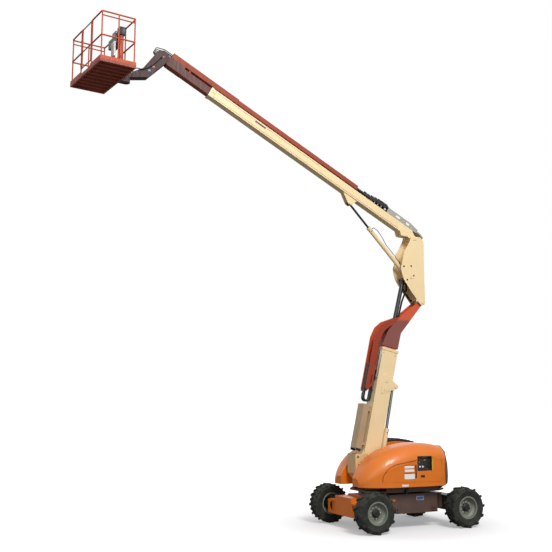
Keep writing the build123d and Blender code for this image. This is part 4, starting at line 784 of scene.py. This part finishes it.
# %% Stickers along the boom
BOOM_STICKERS = [  # name, node, along, up, width, height, material
    # The black boom slot is a flat sheet of painted shade for an opening.
    ("boom_slot_shade", "boom_base", 4.84, 0.120, 0.30, 0.032, VINYL_BLACK),
    ("boom_tip_mark", "boom_base", 6.15, 0.090, 0.09, 0.030, VINYL_YELLOW),
    ("tray_label_rear", "hose_tray", 0.30, 0.250, 0.10, 0.055, VINYL_WHITE),
    ("tray_label_front", "hose_tray", 0.62, 0.250, 0.12, 0.055, VINYL_WHITE),
]
for side, tag in SIDES:
    for name, node, along, up, width, height, material in BOOM_STICKERS:
        sticker(name + tag, node, "boom", on_side(BOOM, along, up, 0.13, side), (width, height), (material,))

# %% [markdown]
# ## Bolts and pin ends on the masts
# The upright's two plates are tied by through bolts, and each large pin is held by a keeper bar with
# two bolts, so that it can't turn. The keeper is cut from flat bar with rounded ends.


# %% Pin keeper pattern
def keeper_pattern(radius):
    """A pin's end with its keeper bar: a chamfered disc and a bar across it held by two bolts."""
    pin_end = turned("pin_end", radius, 0.010, [(radius * 0.14, -0.003), (radius * 0.30, 0.006)], vertices=32,
                     soft=0.0012)
    bar = cube("keeper_bar", (-radius * 1.1, -radius * 1.55, 0), (radius * 1.1, -radius * 0.95, 0.008))
    open_faces(bar, lambda face: abs(face.normal.x) > TOWARDS)
    bpy.ops.mesh.inset(thickness=0.0015)
    bpy.ops.mesh.extrude_region_shrink_fatten(TRANSFORM_OT_shrink_fatten={"value": 0.006})
    close_faces()
    soften(bar, 0.002)
    seats = [Matrix.Translation((sign * radius * 0.8, -radius * 1.25, 0.008)) for sign in (1, -1)]
    return joined([pin_end, bar] + [copied(small_bolt, seat) for seat in seats])


keeper = keeper_pattern(0.036)

# %% Keepers and bolts in place
UPRIGHT_PINS = [(-0.8104, 5.3596), BOOM_PIN, (-0.50, 5.98)]  # x, z
UPRIGHT_BOLTS = [(-0.274, 6.222), (-0.488, 6.240), (-0.367, 5.890), (-0.561, 6.005)]  # x, z
PIVOT_BOLTS = [(0.927, 1.582), (1.118, 1.622), (0.93, 1.20), (1.13, 1.28), (0.70, 1.22), (0.55, 1.05)]  # x, z
TOWER_BOLTS = [  # front, along
    (-0.09, 2.73), (-0.42, 2.73), (-0.09, 2.66), (-0.42, 2.66), (-0.10, 0.20), (-0.42, 0.20),
]
TRAY_BOLTS = [(0.16, 0.215), (0.46, 0.215), (0.80, 0.215), (0.90, 0.290), (0.46, 0.300)]  # along, up
PAD_BOLTS = [(6.22, 0.02), (6.22, 0.13)]  # along, up
FASTENERS = [  # name, pattern, member, points, distance out, body, finish
    ("pin_keepers_upright", keeper, MACHINE, UPRIGHT_PINS, 0.1904, "upright", CREAM_STEEL),
    ("pin_keepers_turntable", keeper, MACHINE, [TOWER_PIN], 0.1824, "turntable", (ZINC, "cream_paint")),
    ("upright_bolts", large_bolt, MACHINE, UPRIGHT_BOLTS, 0.1903, "upright", OXIDE),
    ("pivot_bolts", large_bolt, MACHINE, PIVOT_BOLTS, 0.1823, "turntable", OXIDE),
    ("tower_bolts", small_bolt, TOWER, TOWER_BOLTS, 0.1403, "tower", BRIGHT),
    ("tray_bolts", small_bolt, BOOM, TRAY_BOLTS, 0.1003, "boom", BRIGHT),
    ("boom_pad_bolts", small_bolt, BOOM, PAD_BOLTS, 0.1083, "boom", BRIGHT),
]
for name, pattern, member, points, out, body, finish in FASTENERS:
    repeated(name, pattern, both_sides(member, points, out), body, finish)

# %% [markdown]
# ## Ground control panel
# Behind the notch in the left hood sits a moulded panel with toggle switches, two key switches, two
# meters and a red stop button. Each control is a turned or pressed part, so it starts as a short
# cylinder whose top face is inset and drawn out step by step, as it would be on a lathe.

# %% Patterns of the controls
toggle = turned("toggle", 0.010, 0.004, [(0.003, 0.003), (0.003, 0.012), (0.0005, 0.010)], vertices=12)
stop_button = turned("stop_button", 0.022, 0.016, [(0.004, 0.004), (0.006, 0.002)])
key_switch = turned("key_switch", 0.014, 0.005, [(0.003, 0.004), (0.002, -0.002)])
meter = turned("meter", 0.026, 0.006, [(0.003, 0.003), (0.002, -0.004)])
glass = turned("meter_glass", 0.0205, 0.004, [(0.004, 0.0008)])

# %% Controls in place
PANEL_FACE = 0.9254  # y of the panel's face
TOGGLES = [(x, z) for z in (1.590, 1.530, 1.470) for x in (-0.310, -0.255, -0.200, -0.145)]
METERS = [(-0.09, 1.41), (-0.17, 1.41)]
CONTROLS = [  # name, pattern, places in x and z, height above the panel, finish
    ("panel_toggles", toggle, TOGGLES, 0.0, (BLACK_OXIDE, None)),
    ("panel_stop", stop_button, [(-0.075, 1.585)], 0.0, (STOP_RED, None)),
    ("panel_key", key_switch, [(-0.075, 1.515), (-0.02, 1.515)], 0.0, BRIGHT),
    ("panel_meters", meter, METERS, 0.0, BRIGHT),
    ("panel_meter_faces", glass, METERS, 0.004, (VINYL_WHITE, None)),
]
for name, pattern, points, rise, finish in CONTROLS:
    repeated(name, pattern, [facing(x, PANEL_FACE + rise, z, LEFT) for x, z in points], "turntable", finish)
PANEL_START = 0.96  # distance out, from where the strips are pressed onto the panel
PANEL_STRIPS = [  # x, z, width, height, material
    (-0.2275, 1.625, 0.12, 0.010, VINYL_YELLOW), (-0.2275, 1.56, 0.06, 0.008, VINYL_YELLOW),
    (-0.2275, 1.50, 0.22, 0.010, VINYL_BLACK), (-0.29, 1.41, 0.10, 0.05, VINYL_BLACK),
]
for index, (x, z, width, height, material) in enumerate(PANEL_STRIPS):
    place = facing(x, PANEL_START, z, LEFT)
    sticker("panel_strip_%d" % index, "ground_control", "turntable", place, (width, height), (material,))

# %% [markdown]
# ## Folded and moulded boxes
# Latches, clips, control boxes and the document bag are small folded or moulded boxes. One cell makes
# them: a cube at its size, one face picked by its direction, inset and pushed in or drawn out, and
# all edges rounded.


# %% Box maker
def moulded(name, low, high, steps, soft, body, finish, place=None, up=UP):
    """A box between two corners whose face towards up is inset and moved by each (inset, rise)."""
    box = cube(name, low, high)
    stepped(box, steps, up)
    soften(box, soft)
    bake(box, place)
    return dressed(box, body, finish)


# %% Turntable latch and tower clips
moulded("turntable_latch", (0.16, 0.7405, 0.795), (0.215, 0.790, 0.900), [(0.008, 0.010), (0.004, -0.006)],
        0.004, "turntable", BLACK, up=LEFT)
moulded("latch_handle", (0.11, 0.748, 0.900), (0.135, 0.775, 0.962), [(0.004, 0.008)], 0.004, "turntable",
        BLACK)
moulded("latch_arm", (0.112, 0.742, 0.872), (0.19, 0.770, 0.902), [(0.003, 0.004)], 0.003, "turntable", BLACK,
        up=LEFT)
for side, tag in SIDES:
    near, far = sorted((side * 0.112, side * 0.134))
    moulded("trough_clip" + tag, (0.055, near, 0.24), (0.185, far, 0.298), [(0.006, 0.006)], 0.003, "tower",
            BLACK, TOWER, (0, side, 0))

# %% [markdown]
# ## Weld beads along the masts
# The tower and the boom are folded plate closed by long fillet welds at their corners. A bead is a
# cube stretched to a slim bar, cut into short lengths and rounded. Its finish gives it the ripple, and
# its darker cream is painted shade along the corners.

# %% Beads
BEAD_LENGTHS = 12


def bead(name, low, high, body, place):
    """A long slim bead, cut into lengths and rounded."""
    bar = cube(name, low, high)
    size = [b - a for a, b in zip(low, high)]
    axis = size.index(max(size))
    normal = [int(index == axis) for index in range(3)]
    for step in range(1, BEAD_LENGTHS):
        point = [0, 0, 0]
        point[axis] = low[axis] + size[axis] * step / BEAD_LENGTHS
        open_all()
        bpy.ops.mesh.bisect(plane_co=point, plane_no=normal)
        close_faces()
    soften(bar, min(size) * 0.3)
    bake(bar, place)
    return dressed(bar, body, BEAD_SHADE_FINISH)


for side, tag in SIDES:
    near, far = sorted((side * 0.1402, side * 0.1432))
    bead("tower_weld" + tag, (-0.048, near, 0.02), (-0.038, far, 2.60), "tower", TOWER)
    near, far = sorted((side * 0.1002, side * 0.1026))
    bead("boom_weld_low" + tag, (0.50, near, 0.000), (6.15, far, 0.007), "boom", BOOM)
    bead("boom_weld_high" + tag, (3.05, near, 0.140), (6.15, far, 0.146), "boom", BOOM)

# %% [markdown]
# ## Chain pins
# Each link of the hose chain turns on two short pins whose heads show on its side plates. One head is
# turned and then copied along both runs.

# %% Heads on the links
LINK = 0.106
BOOM_LINKS = 18
TOWER_LINKS = 8
pin_head = turned("link_pin", 0.011, 0.003, [(0.003, 0.0015)], vertices=16)
points = [(1.060 + step * LINK, 0.205) for step in range(BOOM_LINKS)]
repeated("boom_chain_pins", pin_head, both_sides(BOOM, points, 0.0462), "boom_chain", BLACK)
points = [(front, 1.580 + step * LINK) for step in range(TOWER_LINKS) for front in (0.012, 0.182)]
repeated("tower_chain_pins", pin_head, both_sides(TOWER, points, 0.0502), "tower_chain", BLACK)


# %% Side plates of the boom chain's raised run
def link_pattern(height):
    """A chain's side plate: a flat block with a raised, drawn-in middle."""
    plate = cube("chain_plate", (-0.047, -height / 2, -0.0035), (0.047, height / 2, 0.0035))
    stepped(plate, [(0.010, 0.0015)])
    soften(plate, 0.001, 1)
    bake(plate)
    patterns.append(plate)
    return plate


LINK_PLATES = [  # height of the plate; along, up of each
    (0.120, [(1.045, 0.330), (1.151, 0.330), (1.257, 0.326), (1.363, 0.308), (1.469, 0.290)]),
    (0.084, [(1.575, 0.286), (1.681, 0.286)]),
]
for height, points in LINK_PLATES:
    repeated("boom_chain_plates_%d" % round(height * 1000), link_pattern(height),
             both_sides(BOOM, points, 0.0500), "boom_chain", BLACK)

# %% Bracket bosses, tower spacer and guard slots
boss = turned("bracket_boss", 0.044, 0.006, [(0.007, 0.004), (0.012, -0.003)], vertices=32)
BOSSES = [(0.257, 3.394), (0.316, 3.195)]  # x, z
repeated("bracket_bosses", boss, both_sides(MACHINE, BOSSES, 0.1543), "tower", CREAM_STEEL)
moulded("tower_spacer", (-0.0378, 0.062, 2.020), (-0.002, 0.134, 2.720), [(0.010, 0.004)], 0.004, "tower",
        (ALUMINIUM, "grey_tray"), TOWER, FORWARD)
# Black strips on the guard: painted shade of its slot and of a line along its front edge.
GUARD_SHADE_STRIPS = [  # name, front, along, width, height
    ("guard_slot_low_shade", 0.105, 1.96, 0.030, 0.22), ("guard_edge_shade_line", 0.060, 2.62, 0.010, 0.62),
]
for side, tag in SIDES:
    for name, front, along, width, height in GUARD_SHADE_STRIPS:
        place = on_side(TOWER, front, along, 0.14, side)
        sticker(name + tag, "hose_guard", "tower_fly", place, (width, height), (VINYL_BLACK,))

# %% [markdown]
# ## Cylinder heads and ports
# A lift cylinder ends in a screwed gland with spanner slots, and its oil enters through a port on
# each side. The gland is a ring cut with slots by pushing every sixth side face inwards.

# %% Gland pattern
GLAND_SIDES = 36
SLOT_EVERY = 6


def axis_of(line):
    """A cylinder's base pin and its direction, from the ends of its line in X and Z."""
    base, eye = line
    start = Vector((base[0], 0, base[1]))
    return start, (Vector((eye[0], 0, eye[1])) - start).normalized()


def slotted(face):
    """Picks every sixth face round a ring's side."""
    angle = math.atan2(face.normal.y, face.normal.x) + math.tau
    return abs(face.normal.z) < 0.1 and int(angle / (math.tau / GLAND_SIDES)) % SLOT_EVERY == 0


def gland(name, radius, depth, line, along, body):
    """A slotted gland ring round a rod, at a distance along a cylinder's line."""
    ring = disc(name, radius, depth, GLAND_SIDES)
    open_faces(ring, slotted)
    bpy.ops.mesh.inset(thickness=radius * 0.012)
    bpy.ops.mesh.extrude_region_shrink_fatten(TRANSFORM_OT_shrink_fatten={"value": -radius * 0.06})
    close_faces()
    open_faces(ring, lambda face: abs(face.normal.z) > TOWARDS)
    bpy.ops.mesh.inset(thickness=radius * 0.12)
    close_faces()
    soften(ring, 0.0012)
    start, axis = axis_of(line)
    bake(ring, Matrix.Translation(start + axis * along) @ axis.to_track_quat("Z", "Y").to_matrix().to_4x4())
    return dressed(ring, body, CREAM_STEEL)


TOWER_LIFT = ((0.462, 0.965), (0.00565, 3.25579))
BOOM_LIFT = ((-0.50, 5.98), (1.1639, 7.71598))
gland("tower_lift_gland", 0.069, 0.030, TOWER_LIFT, 1.282, "tower_barrel")
gland("boom_lift_gland", 0.059, 0.034, BOOM_LIFT, 1.596, "boom_barrel")

# %% [markdown]
# ## Platform controls
# The upper console stands on its mast inside the rails: a lid with two joysticks in rubber boots, a
# row of switches, a stop button and a striped box. A control box stands beside it on its own post, a
# white document bag hangs in front and a foot switch lies on the floor. The boots are turned, because
# a bellows is a stack of short rings.

# %% Console lid and joysticks
CONSOLE_TOP = 10.830


def on_console(x, sides, rise):
    """Places above the console's top, at x and at each y."""
    return [PLATFORM @ Matrix.Translation((x, y, CONSOLE_TOP + rise)) for y in sides]


moulded("console_lid", (0.190, -0.222, CONSOLE_TOP - 0.012), (0.328, 0.222, CONSOLE_TOP - 0.001),
        [(0.006, 0.006), (0.010, -0.003)], 0.002, "platform", BLACK, PLATFORM)
boot = turned("joystick_boot", 0.030, 0.006, [(0.003, 0.006), (0.0015, 0.004)] * 2 + [(0.004, 0.006)])
stick = turned("joystick", 0.008, 0.060, [(0.001, 0.004)], vertices=14)
CONSOLE_PIECES = [  # name, pattern, x, y of each, rise, finish
    ("joysticks", stick, 0.262, (-0.18, -0.11), 0.004, BLACK),
    ("joystick_boots", boot, 0.262, (-0.18, -0.11), -0.022, BLACK),
    ("console_switches", toggle, 0.235, (-0.20, -0.17, -0.14, -0.11, -0.08), -0.006, (VINYL_YELLOW, None)),
    ("console_stop", stop_button, 0.300, (0.195,), 0.0, (STOP_RED, None)),
]
for name, pattern, x, sides, rise, finish in CONSOLE_PIECES:
    repeated(name, pattern, on_console(x, sides, rise), "platform", finish)

# %% Control box, striped box, document bag and foot switch
FLOOR_TOP = 9.9206
STRIPE_LOWS = (10.838, 10.874, 10.910)
STRIPE_HEIGHT = 0.011
STRIPES = [("box_stripe_%d" % index, (0.196, -0.044, low), (0.330, 0.164, low + STRIPE_HEIGHT),
            [(0.010, -0.002)], 0.002, BRIGHT, UP) for index, low in enumerate(STRIPE_LOWS)]
PLATFORM_BOXES = [  # name, low corner, high corner, steps, rounding, finish, shaped face
    ("control_box", (0.190, 0.250, 10.780), (0.330, 0.400, 10.955), [(0.010, -0.006)], 0.008,
     (GREEN_BLACK, "hub_dark"), LEFT),
    ("control_box_post", (0.225, 0.300, FLOOR_TOP), (0.300, 0.372, 10.778), [(0.010, 0.001)], 0.004, RAIL,
     UP),
    ("control_box_arm", (0.225, 0.226, 10.700), (0.300, 0.302, 10.760), [(0.006, 0.001)], 0.003, RAIL, UP),
    ("striped_box", (0.200, -0.040, 10.8306), (0.326, 0.160, 10.945), [(0.010, -0.004)], 0.006,
     (VINYL_BLUE, None), UP),
    *STRIPES,
    ("document_bag", (0.334, 0.030, 10.350), (0.374, 0.200, 10.680), [(0.010, 0.008), (0.006, -0.010)], 0.010,
     (BAG_WHITE, None), UP),
    ("bag_flap", (0.372, 0.036, 10.560), (0.379, 0.194, 10.676), [(0.008, 0.002)], 0.003, (BAG_WHITE, None),
     FORWARD),
    ("foot_switch", (0.40, -0.46, FLOOR_TOP), (0.62, -0.32, 9.985), [(0.020, 0.020), (0.010, -0.012)], 0.006,
     (BLACK_OXIDE, "hub_dark"), UP),
]
for name, low, high, steps, soft, finish, up in PLATFORM_BOXES:
    moulded(name, low, high, steps, soft, "platform", finish, PLATFORM, up)

# %% [markdown]
# ## Hydraulic fittings
# Hoses join the cylinders by swaged ends. A swage is a ferrule with two crimped waists, so it is
# turned like the switches.

# %% Ports on the cylinders
ferrule = turned("ferrule", 0.016, 0.014, [(0.002, 0.006), (0.001, 0.006), (0.002, 0.008), (0.002, 0.004)],
                 vertices=18)
PORTS = [  # name, line, along, distance out, body
    ("tower_lift_port_low", TOWER_LIFT, 0.13, 0.060, "tower_barrel"),
    ("tower_lift_port_high", TOWER_LIFT, 1.22, 0.060, "tower_barrel"),
    ("boom_lift_port_low", BOOM_LIFT, 0.16, 0.050, "boom_barrel"),
    ("boom_lift_port_high", BOOM_LIFT, 1.52, 0.050, "boom_barrel"),
]
for name, line, along, out, body in PORTS:
    start, axis = axis_of(line)
    middle = start + axis * along
    repeated(name, ferrule, both_sides(MACHINE, [(middle.x, middle.z)], out), body, BRIGHT)

# %% [markdown]
# ## Rear and side details
# The counterweight carries two reflectors, and each hood door has a flush handle plate. These show
# from behind and from the side.

# %% Reflectors and handle plates
TAIL_OUT = 1.29  # distance from the slewing axis, from where the reflectors are pressed on
for side, tag in reversed(SIDES):
    rear = Vector((-1.0968, side * 0.62, 0)).normalized()
    sticker("rear_reflector" + tag, "counterweight", "turntable",
            facing(rear.x * TAIL_OUT, rear.y * TAIL_OUT, 1.10, rear), (0.05, 0.12), (STOP_RED,))
for side, tag in SIDES:
    sticker("door_handle_plate" + tag, "hood_door" + tag, "door" + tag,
            on_side(MACHINE, -0.12, 1.20, HOOD_SIDE, side), (0.11, 0.055), (PLASTIC,))

# %% Remove the patterns
clear_selection()
for pattern in patterns:
    pattern.select_set(True)
bpy.ops.object.delete()

# %% [markdown]
# ## Floor and light
# The machine stands on a plain pale floor. The floor shows white to the camera away from the machine,
# and close to it a soft shadow stays. Large soft lamps stand in for a bright overcast sky.

# %% Floor
FLOOR_SIZE = 240.0


def floor_material():
    """Matt near the machine, and white to the camera farther out."""
    material = bpy.data.materials.new("studio_floor")
    material.use_nodes = True
    tree = material.node_tree
    tree.nodes.clear()
    place = add(tree, "ShaderNodeTexCoord").outputs["Object"]
    distance = add(tree, "ShaderNodeVectorMath", {"operation": "LENGTH"}, i0=place).outputs["Value"]
    seen = add(tree, "ShaderNodeLightPath").outputs["Is Camera Ray"]
    share = worked(tree, "MULTIPLY", ranged(tree, distance, 1.8, 4.6, 0.24, 1.0), seen)
    matt = add(tree, "ShaderNodeBsdfDiffuse", Color=blended(tree, seen, linear("8A8A8A"), linear("F8F8F8")))
    white = add(tree, "ShaderNodeEmission", Color=linear("FFFFFF"), Strength=1.3)
    mixed = add(tree, "ShaderNodeMixShader", i0=share, i1=matt.outputs[0], i2=white.outputs[0])
    add(tree, "ShaderNodeOutputMaterial", Surface=mixed.outputs[0])
    return material


clear_selection()
bpy.ops.mesh.primitive_plane_add(size=FLOOR_SIZE, location=(0, 0, 0))
floor = named("floor")
floor.data.materials.append(floor_material())
floor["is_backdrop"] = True

# %% World
world = bpy.data.worlds.new("studio")
bpy.context.scene.world = world
world.use_nodes = True
sky = world.node_tree
sky.nodes.clear()
ray = add(sky, "ShaderNodeLightPath").outputs
seen = worked(sky, "MAXIMUM", ray["Is Camera Ray"], ray["Is Glossy Ray"])
seen = worked(sky, "MAXIMUM", seen, ray["Is Transmission Ray"])
fill = add(sky, "ShaderNodeBackground", Color=linear("FFFFFF"), Strength=0.34)
white = add(sky, "ShaderNodeBackground", Color=linear("FFFFFF"), Strength=1.0)
mixed = add(sky, "ShaderNodeMixShader", i0=seen, i1=fill.outputs[0], i2=white.outputs[0])
add(sky, "ShaderNodeOutputWorld", Surface=mixed.outputs[0])

# %% Lamps
LAMPS = [  # name, place, size, power, aim
    ("key", (3.0, 18.0, 18.0), 7.0, 3900.0, (0.0, 0.0, 4.5)),
    ("fill", (16.0, 12.0, 9.0), 12.0, 420.0, (0.0, 0.0, 4.5)),
]
for name, place, size, power, aim in LAMPS:
    lamp = bpy.data.lights.new(name, "AREA")
    lamp.size = size
    lamp.energy = power
    holder = bpy.data.objects.new(name, lamp)
    holder.location = place
    holder.rotation_mode = "QUATERNION"
    holder.rotation_quaternion = (Vector(aim) - Vector(place)).to_track_quat("-Z", "Y")
    bpy.context.scene.collection.objects.link(holder)

bpy.context.scene.view_settings.view_transform = "Standard"
print("lamps", len(LAMPS))

# %% Finish
low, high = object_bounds()
